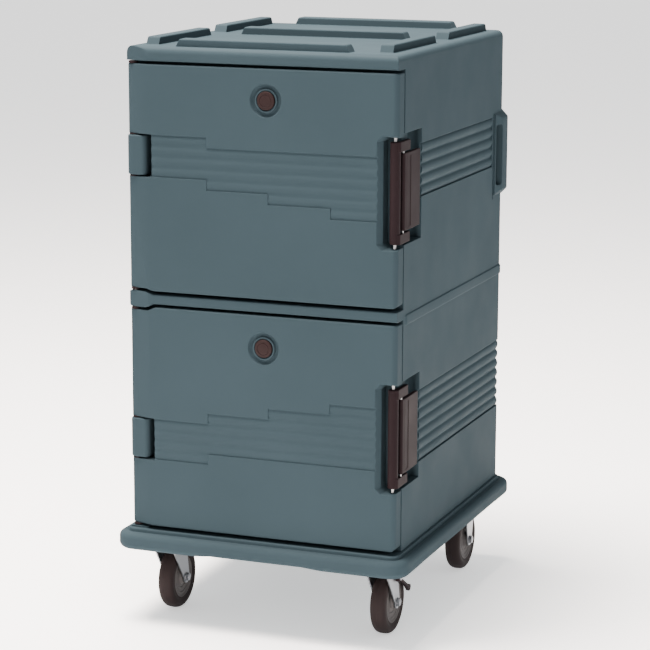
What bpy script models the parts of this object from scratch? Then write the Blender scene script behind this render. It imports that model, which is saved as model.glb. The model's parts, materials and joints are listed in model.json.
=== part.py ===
"""Insulated food carrier: a double-walled, foam-filled plastic cabinet with two side-hung doors,
standing on a bumper base with two swivel and two rigid casters.

Frame: origin on the floor under the middle of the base, +X to the right, +Y to the back, +Z up.
The doors face -Y. Dimensions below are millimetres.
"""

import math

import bmesh
import bpy
from mathutils import Matrix, Vector

MM = 0.001
GAP = 0.3  # running and assembly gap between two pieces

# Cabinet
HALF_WIDTH = 330.0
CABINET_FRONT = -347.0
CABINET_BACK = 392.5
CABINET_BOTTOM = 225.0
CABINET_TOP = 1354.0
HEADER_BOTTOM = 1321.0
DOOR_FRONT = -392.5
SKIN = 5.0  # thickness of each plastic skin
CORNER_RADIUS = 16.0
HALF_OPENING = 275.0
COMPARTMENT_BACK = 340.0
OPENING_RADIUS = 14.0
RAIL_BOTTOM, RAIL_TOP, RAIL_FRONT = 762.0, 785.0, -390.0
KNOB_BOTTOM, KNOB_TOP, KNOB_RIGHT = 753.0, 790.0, -270.0
RIDGE_BOTTOM, RIDGE_TOP, RIDGE_PROUD = 748.0, 770.0, 3.0
LEDGE_WIDTH, LEDGE_HEIGHT, LEDGE_PITCH, LEDGE_COUNT = 20.0, 10.0, 88.0, 5
PORT_RADIUS, PORT_HEIGHT, PORT_STEPS = 15.0, 640.0, 16

# Raised rails on the top
TOP_RAIL_TOP = 1372.0
TOP_RAIL_SLOPE = 11.0

# Base
BASE_HALF_X, BASE_HALF_Y = 360.5, 420.5
BASE_BOTTOM, BASE_TOP = 176.0, 217.0
BASE_CORNER, BASE_EDGE = 45.0, 12.0
BASE_LEDGE_X, BASE_LEDGE_Y = 337.0, 399.0
BASE_UNDERSIDE = 190.0
ARCH_HALF_X, ARCH_HALF_Y = 130.0, 295.0
ARCH_RISE, ARCH_RUN = 7.0, 30.0

# Hinges
HINGE_X, HINGE_Y = -316.0, -371.0
PIN_RADIUS = 4.0
BUSH_RADIUS, BUSH_FLANGE, BUSH_LENGTH = 6.5, 11.0, 18.0
END_FLANGE, KNUCKLE_FLANGE = 5.0, 3.0
NOTCH_RIGHT = -271.0
KNUCKLE_RIGHT = -285.0
KNUCKLE_CLEARANCE = 4.0

# Doors
DOOR_BACK = -350.5
DOOR_CORNER = 12.0
FACET_START = -270.0
FACET_END = (-322.0, -377.5)
PLUG_BACK = -325.5
HALF_PLUG = 265.0
GASKET_WIDTH = 15.0
FILL_RADIUS, FILL_PLACE = 6.0, (-100.0, -371.0, 0.0)  # hole that the foam goes in through
VENT_RADIUS, VENT_HEAD, VENT_RECESS, VENT_DEPTH = 12.0, 21.0, 37.5, 8.0

# Latches
LATCH_LEFT = 291.5
LINK_X, LINK_Y, LINK_RADIUS = 318.0, -376.0, 11.5
LATCH_PIN, LEVER_PIN = 3.5, 2.5  # radii
LEVER_X, LEVER_Y, LEVER_RADIUS = 328.5, -353.0, 5.2
ARM_INSIDE, ARM_OUTSIDE, ARM_BACK = 322.3, 332.0, -313.0
ARM_HEIGHT = 23.0
LEVER_BACK = -258.0
KEEPER_FACE, KEEPER_BACK = 321.5, -313.0
RECESS_FLOOR, RECESS_BACK = 300.0, -231.0

# Side grips
GRIP_BOTTOM, GRIP_TOP = 951.0, 1155.0
GRIP_FRONT, GRIP_PROUD = 317.0, 13.0
GRIP_SLOT = ((305.0, 322.0, 976.0), (350.0, 349.0, 1127.0))
GRIP_UNDERCUT = ((305.0, 340.0, 976.0), (325.0, 374.0, 1127.0))

# Casters
CASTER_X, FRONT_CASTER_Y, REAR_CASTER_Y = 268.0, -300.0, 285.0
TRAIL = 35.0
WHEEL_RADIUS, WHEEL_HALF_WIDTH, HUB_RADIUS = 76.0, 19.0, 50.0
AXLE_RADIUS = 6.0
FORK_INSIDE, FORK_OUTSIDE = 22.0, 26.0
PLATE_BOTTOM, PLATE_TOP = 184.7, 189.7
PLATE_HALF_X, PLATE_HALF_Y = 47.0, 52.0
STUD_RADIUS, STUD_X, STUD_Y = 5.0, 35.0, 40.0
KINGPIN_RADIUS = 6.0

TYRE_STEPS = 32
TURN_STEPS = 24
SMALL_STEPS = 12

# Each door with the heights that differ between the two: (bottom, top) pairs
UPPER = {
    "name": "upper",
    "door": (793.0, 1314.0),
    "opening": (800.0, 1300.0),
    "knuckle": (1060.0, 1151.0),
    "latch": (926.0, 1173.0),
    "recess": (931.0, 1180.0),
    "vent": (17.0, 1242.5),
    "pin": (773.0, 1336.0),
    "hinge_ends": (798.0, 1314.0),
    "first_flute": 1155.0,
    "flute_step": -24.5,
}
LOWER = {
    "name": "lower",
    "door": (234.0, 755.0),
    "opening": (245.0, 745.0),
    "knuckle": (395.0, 488.0),
    "latch": (370.0, 617.0),
    "recess": (372.0, 621.0),
    "vent": (10.0, 679.5),
    "pin": (226.5, 769.0),
    "hinge_ends": (234.0, 746.0),
    "first_flute": 395.0,
    "flute_step": 24.2,
}
DOORS = (UPPER, LOWER)

# Where each of a door's eight flute lines starts and ends along X
FLUTE_ENDS = (
    (-262.0, -128.0),
    *(((-262.0, 286.0),) * 4),
    (-128.0, 286.0),
    (22.0, 286.0),
    (172.0, 286.0),
)
FLUTE_DEPTH, FLUTE_WIDTH = 2.5, 4.0

# Grooves in each side, upper and lower: (height of the top one, step, count, front end, back end)
SIDE_BANDS = (
    (1142.0, -25.0, 6, -205.0, 300.0),
    (576.0, -23.0, 8, -196.0, 366.0),
)
BACK_FLUTE_HALF = 300.0

COLOURS = {  # base colour, roughness, metallic
    "shell_plastic": ((0.085, 0.135, 0.155), 0.5, 0.0),
    "foam": ((0.80, 0.72, 0.48), 0.9, 0.0),
    "gasket_rubber": ((0.10, 0.10, 0.10), 0.8, 0.0),
    "brown_nylon": ((0.055, 0.03, 0.026), 0.45, 0.0),
    "vent_plastic": ((0.16, 0.06, 0.05), 0.5, 0.0),
    "stainless_steel": ((0.60, 0.60, 0.60), 0.3, 1.0),
    "zinc_steel": ((0.62, 0.63, 0.65), 0.35, 1.0),
    "tyre_rubber": ((0.045, 0.045, 0.047), 0.75, 0.0),
    "hub_plastic": ((0.33, 0.32, 0.29), 0.6, 0.0),
}


def clear_scene():
    for obj in list(bpy.data.objects):
        bpy.data.objects.remove(obj, do_unlink=True)


def new_collection(name):
    made = bpy.data.collections.new(name)
    bpy.context.scene.collection.children.link(made)
    return made


clear_scene()
PARTS = new_collection("insulated_food_carrier")
CUTTERS = new_collection("cutters")


def make_materials():
    made = {}
    for name, (colour, roughness, metallic) in COLOURS.items():
        material = bpy.data.materials.new(name)
        material.use_nodes = True
        shader = material.node_tree.nodes["Principled BSDF"]
        shader.inputs["Base Color"].default_value = (*colour, 1.0)
        shader.inputs["Roughness"].default_value = roughness
        shader.inputs["Metallic"].default_value = metallic
        made[name] = material
    return made


MATERIALS = make_materials()


def add_object(name, mesh, material=None):
    """A part when it has a material, otherwise a cutter or a piece to be joined."""
    obj = bpy.data.objects.new(name, mesh)
    if material:
        PARTS.objects.link(obj)
        mesh.materials.append(MATERIALS[material])
    else:
        CUTTERS.objects.link(obj)
        obj.hide_render = True
        obj.display_type = "WIRE"
    return obj


def box(name, low, high, material=None, radius=0.0, segments=2, rounded=None):
    """A block between two corners. rounded picks the edges that get the radius; all by default."""
    bm = bmesh.new()
    bmesh.ops.create_cube(bm, size=1.0)
    size = [(b - a) * MM for a, b in zip(low, high)]
    middle = [(a + b) / 2 * MM for a, b in zip(low, high)]
    bmesh.ops.scale(bm, vec=size, verts=bm.verts)
    bmesh.ops.translate(bm, vec=middle, verts=bm.verts)
    if radius:
        round_edges(bm, radius, segments, rounded)
    mesh = bpy.data.meshes.new(name)
    bm.to_mesh(mesh)
    bm.free()
    return add_object(name, mesh, material)


def round_edges(bm, radius, segments, rounded=None):
    edges = [edge for edge in bm.edges if rounded is None or rounded(edge)]
    bmesh.ops.bevel(
        bm, geom=edges, offset=radius * MM, segments=segments, profile=0.5, affect="EDGES"
    )


def along(axis):
    """Picks the edges that run along X, Y or Z."""
    index = "XYZ".index(axis)

    def test(edge):
        span = edge.verts[0].co - edge.verts[1].co
        return abs(span[index]) > 0.99 * span.length

    return test


def prism(name, outline, low, high, axis="Z", material=None, after=None):
    """A flat outline, thickened along an axis. Points are (x, y), (y, z) or (x, z) for Z, X or Y."""
    curve = bpy.data.curves.new(name, "CURVE")
    curve.dimensions = "2D"
    curve.fill_mode = "BOTH"
    curve.extrude = (high - low) / 2 * MM
    spline = curve.splines.new("POLY")
    spline.points.add(len(outline) - 1)
    for point, (a, b) in zip(spline.points, outline):
        point.co = (a * MM, b * MM, 0.0, 1.0)
    spline.use_cyclic_u = True
    flat = bpy.data.objects.new(name + "_outline", curve)
    bpy.context.scene.collection.objects.link(flat)
    graph = bpy.context.evaluated_depsgraph_get()
    mesh = bpy.data.meshes.new_from_object(flat.evaluated_get(graph))
    bpy.data.objects.remove(flat, do_unlink=True)
    mesh.name = name
    turn = {
        "Z": Matrix.Identity(4),
        "X": Matrix(((0, 0, 1, 0), (1, 0, 0, 0), (0, 1, 0, 0), (0, 0, 0, 1))),
        "Y": Matrix(((1, 0, 0, 0), (0, 0, -1, 0), (0, 1, 0, 0), (0, 0, 0, 1))),
    }[axis]
    middle = (low + high) / 2 * MM
    shift = Matrix.Translation((0, 0, -middle if axis == "Y" else middle))
    bm = bmesh.new()
    bm.from_mesh(mesh)
    bmesh.ops.remove_doubles(bm, verts=bm.verts, dist=1e-6)
    bmesh.ops.transform(bm, matrix=turn @ shift, verts=bm.verts)
    bmesh.ops.recalc_face_normals(bm, faces=bm.faces)
    if after:
        after(bm)
    bm.to_mesh(mesh)
    bm.free()
    mesh.materials.clear()
    return add_object(name, mesh, material)


def turned(name, profile, centre=(0, 0, 0), axis="Z", material=None, ring=False, steps=TURN_STEPS):
    """A profile of (radius, height) points, outer side running downwards, turned about an axis.

    Height runs along +Z, along +X, or along -Y, which is outwards from the doors.
    """
    points = [Vector((radius, 0.0, height)) * MM for radius, height in profile]
    edges = [(i, i + 1) for i in range(len(points) - 1)]
    if ring:
        edges.append((len(points) - 1, 0))
    mesh = bpy.data.meshes.new(name)
    mesh.from_pydata(points, edges, [])
    obj = add_object(name, mesh, material)
    screw = obj.modifiers.new("turn", "SCREW")
    screw.steps = screw.render_steps = steps
    screw.use_merge_vertices = True
    screw.merge_threshold = 1e-5
    obj.location = Vector(centre) * MM
    obj.rotation_euler = {
        "Z": (0, 0, 0),
        "X": (0, math.pi / 2, 0),
        "Y": (math.pi / 2, 0, 0),
    }[axis]
    return obj


def rod(name, radius, low, high, centre, axis="Z", material=None, steps=SMALL_STEPS):
    """A plain round bar; low and high are heights along the axis from the centre."""
    profile = [(0, high), (radius, high), (radius, low), (0, low)]
    return turned(name, profile, centre, axis, material, steps=steps)


def change(obj, operation, others, solver="EXACT"):
    for other in others:
        modifier = obj.modifiers.new(operation.lower() + "_" + other.name, "BOOLEAN")
        modifier.operation = operation
        modifier.solver = solver
        modifier.object = other


def cut(obj, *cutters, solver="EXACT"):
    change(obj, "DIFFERENCE", cutters, solver)


def join(obj, *pieces):
    change(obj, "UNION", pieces)


def arc(centre, radius, start, end, steps):
    """Points on an arc, in degrees anticlockwise from the outline's first axis."""
    angles = [math.radians(start + (end - start) * i / steps) for i in range(steps + 1)]
    return [(centre[0] + radius * math.cos(a), centre[1] + radius * math.sin(a)) for a in angles]


def hold(name, place, *pieces):
    """An empty on a joint's axis that the pieces of one moving body hang from."""
    empty = bpy.data.objects.new(name, None)
    empty.empty_display_size = 0.03
    empty.location = Vector(place) * MM
    PARTS.objects.link(empty)
    for piece in pieces:
        piece.parent = empty
        piece.matrix_parent_inverse = Matrix.Translation(-empty.location)
    return empty


# Cabinet


def cabinet_profile():
    """Side view (y, z) of the cabinet: header and middle rail stand forward between the doors."""
    front, back = CABINET_FRONT, CABINET_BACK
    return [
        (front, CABINET_BOTTOM),
        (back, CABINET_BOTTOM),
        (back, CABINET_TOP),
        (DOOR_FRONT, CABINET_TOP),
        (DOOR_FRONT, HEADER_BOTTOM),
        (front, HEADER_BOTTOM),
        (front, RAIL_TOP),
        (RAIL_FRONT, RAIL_TOP),
        (RAIL_FRONT, RAIL_BOTTOM),
        (front, RAIL_BOTTOM),
    ]


def round_cabinet(bm):
    """Rounds the two upright edges at the back and the whole rim of the top."""

    def test(edge):
        at_back = along("Z")(edge) and edge.verts[0].co.y > 0.9 * CABINET_BACK * MM
        on_top = all(vert.co.z > (CABINET_TOP - 1) * MM for vert in edge.verts)
        return at_back or on_top

    round_edges(bm, CORNER_RADIUS, 3, test)


def foam_core(name, clearance, material=None):
    """The space between the cabinet's two skins. With a clearance, the foam that fills it."""
    edge = SKIN + clearance
    core = box(
        name,
        (edge - HALF_WIDTH, CABINET_FRONT + edge, CABINET_BOTTOM + edge),
        (HALF_WIDTH - edge, CABINET_BACK - edge, CABINET_TOP - edge),
        material,
        radius=CORNER_RADIUS - SKIN,
        rounded=along("Z"),
    )
    for door in DOORS:
        bottom, top = door["opening"]
        tag = name + "_" + door["name"]
        around = box(
            tag + "_around",
            (-HALF_OPENING - edge, CABINET_FRONT - 20, bottom - edge),
            (HALF_OPENING + edge, COMPARTMENT_BACK + edge, top + edge),
        )
        bottom, top = door["recess"]
        latch = box(
            tag + "_latch",
            (RECESS_FLOOR - edge, CABINET_FRONT - 20, bottom - edge),
            (HALF_WIDTH + 20, RECESS_BACK + edge, top + edge),
        )
        cut(core, around, latch)
    for side in (-1, 1):
        near, far = sorted((side * (GRIP_SLOT[0][0] - edge), side * (HALF_WIDTH + 20)))
        grip = box(
            f"{name}_grip_{side}",
            (near, GRIP_FRONT - edge, GRIP_BOTTOM),
            (far, CABINET_BACK + 20, GRIP_TOP),
        )
        cut(core, grip)
    return core


def top_rail(name, low, high, across):
    """A raised bar on the top with sloping ends; across runs it along X instead of Y."""
    start, end = (low[0], high[0]) if across else (low[1], high[1])
    foot = CABINET_TOP - 5
    outline = [
        (start, foot),
        (end, foot),
        (end - TOP_RAIL_SLOPE, TOP_RAIL_TOP),
        (start + TOP_RAIL_SLOPE, TOP_RAIL_TOP),
    ]
    if across:
        return prism(name, outline, low[1], high[1], "Y")
    return prism(name, outline, low[0], high[0], "X")


def top_rails():
    rails = []
    for side in (-1, 1):
        near, far = sorted((side * 262.0, side * 293.0))
        for number, (start, end) in enumerate(((-352.0, -50.0), (30.0, 350.0))):
            name = f"side_rail_{side}_{number}"
            rails.append(top_rail(name, (near, start), (far, end), across=False))
    for number, start in enumerate((-374.0, 2.0, 352.0)):
        name = f"cross_rail_{number}"
        rails.append(top_rail(name, (-212.0, start), (212.0, start + 34.0), across=True))
    return rails


def knuckle(door):
    """The moulded barrel round a hinge pin, with the neck that joins it to the cabinet."""
    barrel = arc((HINGE_X, HINGE_Y), 14.5, 180, 270, 4)
    nose = arc((KNUCKLE_RIGHT - 12, HINGE_Y - 5), 12, 270, 360, 3)
    outline = [
        (-HALF_WIDTH - 0.5, CABINET_FRONT + 12),
        *barrel,
        *nose,
        (KNUCKLE_RIGHT, CABINET_FRONT + 12),
    ]
    return prism(door["name"] + "_knuckle", outline, *door["knuckle"])


def pan_ledges(door):
    bottom = door["opening"][0]
    ledges = []
    for side in (-1, 1):
        near, far = sorted((side * (HALF_OPENING + 3), side * (HALF_OPENING - LEDGE_WIDTH)))
        for step in range(LEDGE_COUNT):
            z = bottom + 60 + step * LEDGE_PITCH
            ledges.append(
                box(
                    f"{door['name']}_ledge_{side}_{step}",
                    (near, CABINET_FRONT + 35, z),
                    (far, COMPARTMENT_BACK - 20, z + LEDGE_HEIGHT),
                )
            )
    return ledges


def latch_recess(door):
    """Room for a latch in the cabinet's side: a shallow keeper strip, then a deeper finger pocket."""
    outside = HALF_WIDTH + 20
    outline = [
        (KEEPER_FACE, CABINET_FRONT - 20),
        (outside, CABINET_FRONT - 20),
        (outside, RECESS_BACK),
        (HALF_WIDTH, RECESS_BACK),
        (RECESS_FLOOR, RECESS_BACK - 12),
        (RECESS_FLOOR, KEEPER_BACK),
        (KEEPER_FACE, KEEPER_BACK),
    ]
    return prism(door["name"] + "_latch_recess", outline, *door["recess"])


def side_grip(side):
    """A raised boss at the back of a side, sloping above and below."""
    x = HALF_WIDTH - 5
    out = HALF_WIDTH + GRIP_PROUD
    outline = [
        (side * x, GRIP_BOTTOM - 5),
        (side * out, GRIP_BOTTOM + GRIP_PROUD),
        (side * out, GRIP_TOP - GRIP_PROUD),
        (side * x, GRIP_TOP + 5),
    ]
    return prism(f"grip_{side}", outline, GRIP_FRONT, CABINET_BACK - 8, "Y")


def mirrored_box(name, corners, side):
    low, high = corners
    near, far = sorted((side * low[0], side * high[0]))
    return box(name, (near, low[1], low[2]), (far, high[1], high[2]))


def groove_boxes(name, spans):
    """One cutter made of separate bars: spans are (low corner, high corner) pairs."""
    bm = bmesh.new()
    for low, high in spans:
        made = bmesh.ops.create_cube(bm, size=1.0)["verts"]
        size = [(b - a) * MM for a, b in zip(low, high)]
        middle = [(a + b) / 2 * MM for a, b in zip(low, high)]
        bmesh.ops.scale(bm, vec=size, verts=made)
        bmesh.ops.translate(bm, vec=middle, verts=made)
    mesh = bpy.data.meshes.new(name)
    bm.to_mesh(mesh)
    bm.free()
    return add_object(name, mesh)


def side_flutes():
    """Grooves that stiffen the cabinet's sides, and the back behind the lower compartment."""
    spans = []
    for side in (-1, 1):
        inner, outer = sorted((side * (HALF_WIDTH - FLUTE_DEPTH), side * (HALF_WIDTH + 10)))
        for top, step, count, start, end in SIDE_BANDS:
            for number in range(count):
                z = top + step * number
                spans.append(((inner, start, z), (outer, end, z + FLUTE_WIDTH)))
    top, step, count, _, _ = SIDE_BANDS[1]
    for number in range(count):
        z = top + step * number
        low = (-BACK_FLUTE_HALF, CABINET_BACK - FLUTE_DEPTH, z)
        spans.append((low, (BACK_FLUTE_HALF, CABINET_BACK + 10, z + FLUTE_WIDTH)))
    return groove_boxes("side_flutes", spans)


def header_facet():
    """The slope that takes off the header's front left corner, in line with the doors' facets."""
    outline = [
        (FACET_START + 4, DOOR_FRONT - 1.1),
        (-HALF_WIDTH - 10, DOOR_FRONT + 19.5),
        (-HALF_WIDTH - 10, DOOR_FRONT - 20),
        (FACET_START + 4, DOOR_FRONT - 20),
    ]
    return prism("header_facet", outline, 740, CABINET_TOP + 40)


def hinge_shelf():
    low = (-HALF_WIDTH, HINGE_Y - 14, CABINET_BOTTOM)
    high = (KNUCKLE_RIGHT, CABINET_FRONT + 10, CABINET_BOTTOM + 3)
    return box("hinge_shelf", low, high)


def build_cabinet():
    shell = prism(
        "cabinet_shell",
        cabinet_profile(),
        -HALF_WIDTH,
        HALF_WIDTH,
        "X",
        "shell_plastic",
        round_cabinet,
    )
    knob = box(
        "rail_knob",
        (-HALF_WIDTH, RAIL_FRONT, KNOB_BOTTOM),
        (KNOB_RIGHT, CABINET_FRONT + 10, KNOB_TOP),
        radius=5,
    )
    ridge = box(
        "side_ridge",
        (-HALF_WIDTH - RIDGE_PROUD, CABINET_FRONT + 2, RIDGE_BOTTOM),
        (HALF_WIDTH + RIDGE_PROUD, CABINET_BACK + RIDGE_PROUD, RIDGE_TOP),
        radius=CORNER_RADIUS,
        rounded=lambda edge: along("Z")(edge) and edge.verts[0].co.y > 0,
    )
    join(shell, knob, ridge, hinge_shelf(), *top_rails())
    join(shell, *(knuckle(door) for door in DOORS))
    join(shell, *(side_grip(side) for side in (-1, 1)))
    port_centre = (0, CABINET_BACK, PORT_HEIGHT)
    cavity = foam_core("cabinet_cavity", 0.0)
    join(cavity, rod("foam_port", PORT_RADIUS, -10, SKIN + 6, port_centre, "Y", steps=PORT_STEPS))
    cut(shell, header_facet(), side_flutes())
    cut(shell, cavity, solver="MANIFOLD")
    for door in DOORS:
        bottom, top = door["opening"]
        opening = box(
            door["name"] + "_compartment",
            (-HALF_OPENING, CABINET_FRONT - 20, bottom),
            (HALF_OPENING, COMPARTMENT_BACK, top),
            radius=OPENING_RADIUS,
            rounded=along("Y"),
        )
        low, high = door["pin"]
        pin_hole = rod(
            door["name"] + "_pin_hole", PIN_RADIUS + GAP, low - 0.5, high + 0.5, (HINGE_X, HINGE_Y, 0)
        )
        cut(shell, opening, latch_recess(door), pin_hole)
        join(shell, *pan_ledges(door))
    for side in (-1, 1):
        cut(shell, mirrored_box(f"grip_slot_{side}", GRIP_SLOT, side))
        cut(shell, mirrored_box(f"grip_undercut_{side}", GRIP_UNDERCUT, side))
    foam_core("cabinet_foam", GAP, "foam")
    build_port_plug(port_centre)


def build_port_plug(centre):
    """The cap over the hole in the back that the foam is poured through."""
    head, stem = PORT_RADIUS + 4, PORT_RADIUS - 2 * GAP
    profile = [
        (0, 4),
        (head - 2, 4),
        (head, 3),
        (head, GAP),
        (stem, GAP),
        (stem, 0.5 - SKIN),
        (0, 0.5 - SKIN),
    ]
    plug = turned("foam_port_plug", profile, centre, "Y", "shell_plastic", steps=PORT_STEPS)
    plug.rotation_euler.x = -math.pi / 2


# Base


def caster_places():
    """(name, x, y, swivels) of each caster's plate."""
    for end, y in (("front", FRONT_CASTER_Y), ("rear", REAR_CASTER_Y)):
        for side, x in (("left", -CASTER_X), ("right", CASTER_X)):
            yield f"{end}_{side}", x, y, end == "front"


def base_arches():
    """Cutters that make the base's lower rim shallower between the casters."""
    for axis, half, reach in (("Y", ARCH_HALF_X, BASE_HALF_Y), ("X", ARCH_HALF_Y, BASE_HALF_X)):
        outline = [
            (-half - 2 * ARCH_RUN, BASE_BOTTOM - ARCH_RISE),
            (half + 2 * ARCH_RUN, BASE_BOTTOM - ARCH_RISE),
            (half, BASE_BOTTOM + ARCH_RISE),
            (-half, BASE_BOTTOM + ARCH_RISE),
        ]
        yield prism(f"base_arch_{axis}", outline, -reach - 10, reach + 10, axis)


def build_base():
    base = box(
        "bumper_base",
        (-BASE_HALF_X, -BASE_HALF_Y, BASE_BOTTOM),
        (BASE_HALF_X, BASE_HALF_Y, BASE_TOP),
        "shell_plastic",
        radius=BASE_CORNER,
        segments=5,
        rounded=along("Z"),
    )
    rim = base.modifiers.new("rim", "BEVEL")
    rim.width = BASE_EDGE * MM
    rim.segments = 3
    rim.limit_method = "ANGLE"
    rim.angle_limit = math.radians(60)
    ledge = box(
        "base_ledge",
        (-BASE_LEDGE_X, -BASE_LEDGE_Y, BASE_TOP - 15),
        (BASE_LEDGE_X, BASE_LEDGE_Y, CABINET_BOTTOM - GAP),
        radius=24,
        rounded=along("Z"),
    )
    underside = box(
        "underside",
        (-BASE_HALF_X + 32, -BASE_HALF_Y + 32, BASE_BOTTOM - 20),
        (BASE_HALF_X - 32, BASE_HALF_Y - 32, BASE_UNDERSIDE),
        radius=20,
        rounded=along("Z"),
    )
    join(base, ledge)
    cut(base, underside, *base_arches())
    for name, x, y, _ in caster_places():
        low = (x - PLATE_HALF_X, y - PLATE_HALF_Y, BASE_UNDERSIDE - 5)
        high = (x + PLATE_HALF_X, y + PLATE_HALF_Y, BASE_UNDERSIDE + 4)
        cut(base, box(name + "_stud_pocket", low, high))


# Hinges


def build_hinge(door):
    """Makes the fixed pin and the flanged bushes that the door turns on.

    Returns the bushes, and the cutters for their seats and for the pin.
    """
    name = door["name"]
    axis = (HINGE_X, HINGE_Y, 0)
    rod(name + "_hinge_pin", PIN_RADIUS, *door["pin"], axis, material="stainless_steel")
    bottom, top = door["hinge_ends"]
    knuckle_bottom, knuckle_top = door["knuckle"]
    bushes = {  # where the door's material ends, which way is out, thickness of the flange
        "top": (top, 1, END_FLANGE),
        "over_knuckle": (knuckle_top + KNUCKLE_CLEARANCE, -1, KNUCKLE_FLANGE),
        "under_knuckle": (knuckle_bottom - KNUCKLE_CLEARANCE, 1, KNUCKLE_FLANGE),
        "bottom": (bottom, -1, END_FLANGE),
    }
    made, holes = [], []
    for place, (height, outwards, flange) in bushes.items():
        bore = PIN_RADIUS + GAP
        tip = -BUSH_LENGTH * outwards
        seat = GAP * outwards
        face = (GAP + flange) * outwards
        profile = [
            (bore, face),
            (BUSH_FLANGE, face),
            (BUSH_FLANGE, seat),
            (BUSH_RADIUS, seat),
            (BUSH_RADIUS, tip),
            (bore, tip),
        ]
        if outwards < 0:
            profile.reverse()
        where = (HINGE_X, HINGE_Y, height)
        bush_name = f"{name}_bush_{place}"
        bush = turned(
            bush_name, profile, where, "Z", "brown_nylon", ring=True, steps=SMALL_STEPS
        )
        made.append(bush)
        inner, outer = sorted((-outwards * (BUSH_LENGTH + 1), outwards * END_FLANGE))
        holes.append(rod(bush_name + "_hole", BUSH_RADIUS + GAP, inner, outer, where))
    bore = rod(name + "_door_bore", PIN_RADIUS + 1, bottom - 20, top + 20, axis)
    return made, [*holes, bore]


# Doors


def door_outline():
    right = HALF_WIDTH
    left_corner = arc((-HALF_WIDTH + 12, -366), 12, 180, 253, 4)
    left_corner.reverse()
    front_right = arc((right - DOOR_CORNER, DOOR_FRONT + DOOR_CORNER), DOOR_CORNER, 0, -90, 4)
    back_left = arc((-HALF_WIDTH + 10, DOOR_BACK - 10), 10, 180, 90, 3)
    return [
        (FACET_START, DOOR_FRONT),
        *left_corner,
        *back_left,
        (right - 2, DOOR_BACK),
        (right, DOOR_BACK - 2),
        *front_right,
    ]


def door_foam_outline(edge):
    """Plan of the space inside a door and its plug, away from the hinge and the latch pocket."""
    left, right = NOTCH_RIGHT + edge, LATCH_LEFT - edge
    front, back = DOOR_FRONT + edge, DOOR_BACK - edge
    plug = HALF_PLUG - edge
    inner = PLUG_BACK - edge
    return [
        (left, front),
        (right, front),
        (right, back),
        (plug, back),
        (plug, inner),
        (-plug, inner),
        (-plug, back),
        (left, back),
    ]


def door_foam(name, door, clearance, material=None):
    edge = SKIN + clearance
    bottom, top = door["opening"]
    core = prism(
        name, door_foam_outline(edge), bottom + 10 + edge, top - 10 - edge, "Z", material
    )
    x, z = door["vent"]
    centre = (x, DOOR_FRONT, z)
    cut(core, rod(name + "_vent", VENT_RECESS + edge, -100, 20, centre, "Y", steps=TURN_STEPS))
    return core


def vent_cutter(door):
    """The round recess with a raised collar in it, and the hole through the door."""
    x, z = door["vent"]
    hole_end = -(PLUG_BACK - DOOR_FRONT) - 5
    profile = [
        (0, 5),
        (VENT_RECESS, 5),
        (VENT_RECESS, 0),
        (VENT_RECESS - 3, -VENT_DEPTH),
        (VENT_HEAD + 7, -VENT_DEPTH),
        (VENT_HEAD + 6, -2.5),
        (VENT_HEAD + 2, -2.5),
        (VENT_HEAD + 1, -VENT_DEPTH),
        (VENT_RADIUS, -VENT_DEPTH),
        (VENT_RADIUS, hole_end),
        (0, hole_end),
    ]
    return turned(door["name"] + "_vent_hole", profile, (x, DOOR_FRONT, z), "Y")


def door_flutes(door):
    spans = []
    for number, (start, end) in enumerate(FLUTE_ENDS):
        z = door["first_flute"] + number * door["flute_step"]
        low = (start, DOOR_FRONT - 10, z - FLUTE_WIDTH / 2)
        spans.append((low, (end, DOOR_FRONT + FLUTE_DEPTH, z + FLUTE_WIDTH / 2)))
    return groove_boxes(door["name"] + "_door_flutes", spans)


def frame_ring(name, half, bottom, top, width, front, back, material):
    """A rectangular ring round the door's plug."""
    ring = box(
        name,
        (-half - width, front, bottom - width),
        (half + width, back, top + width),
        material,
        radius=8,
        rounded=along("Y"),
    )
    cut(ring, box(name + "_inside", (-half, front - 5, bottom), (half, back + 5, top)))
    return ring


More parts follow.
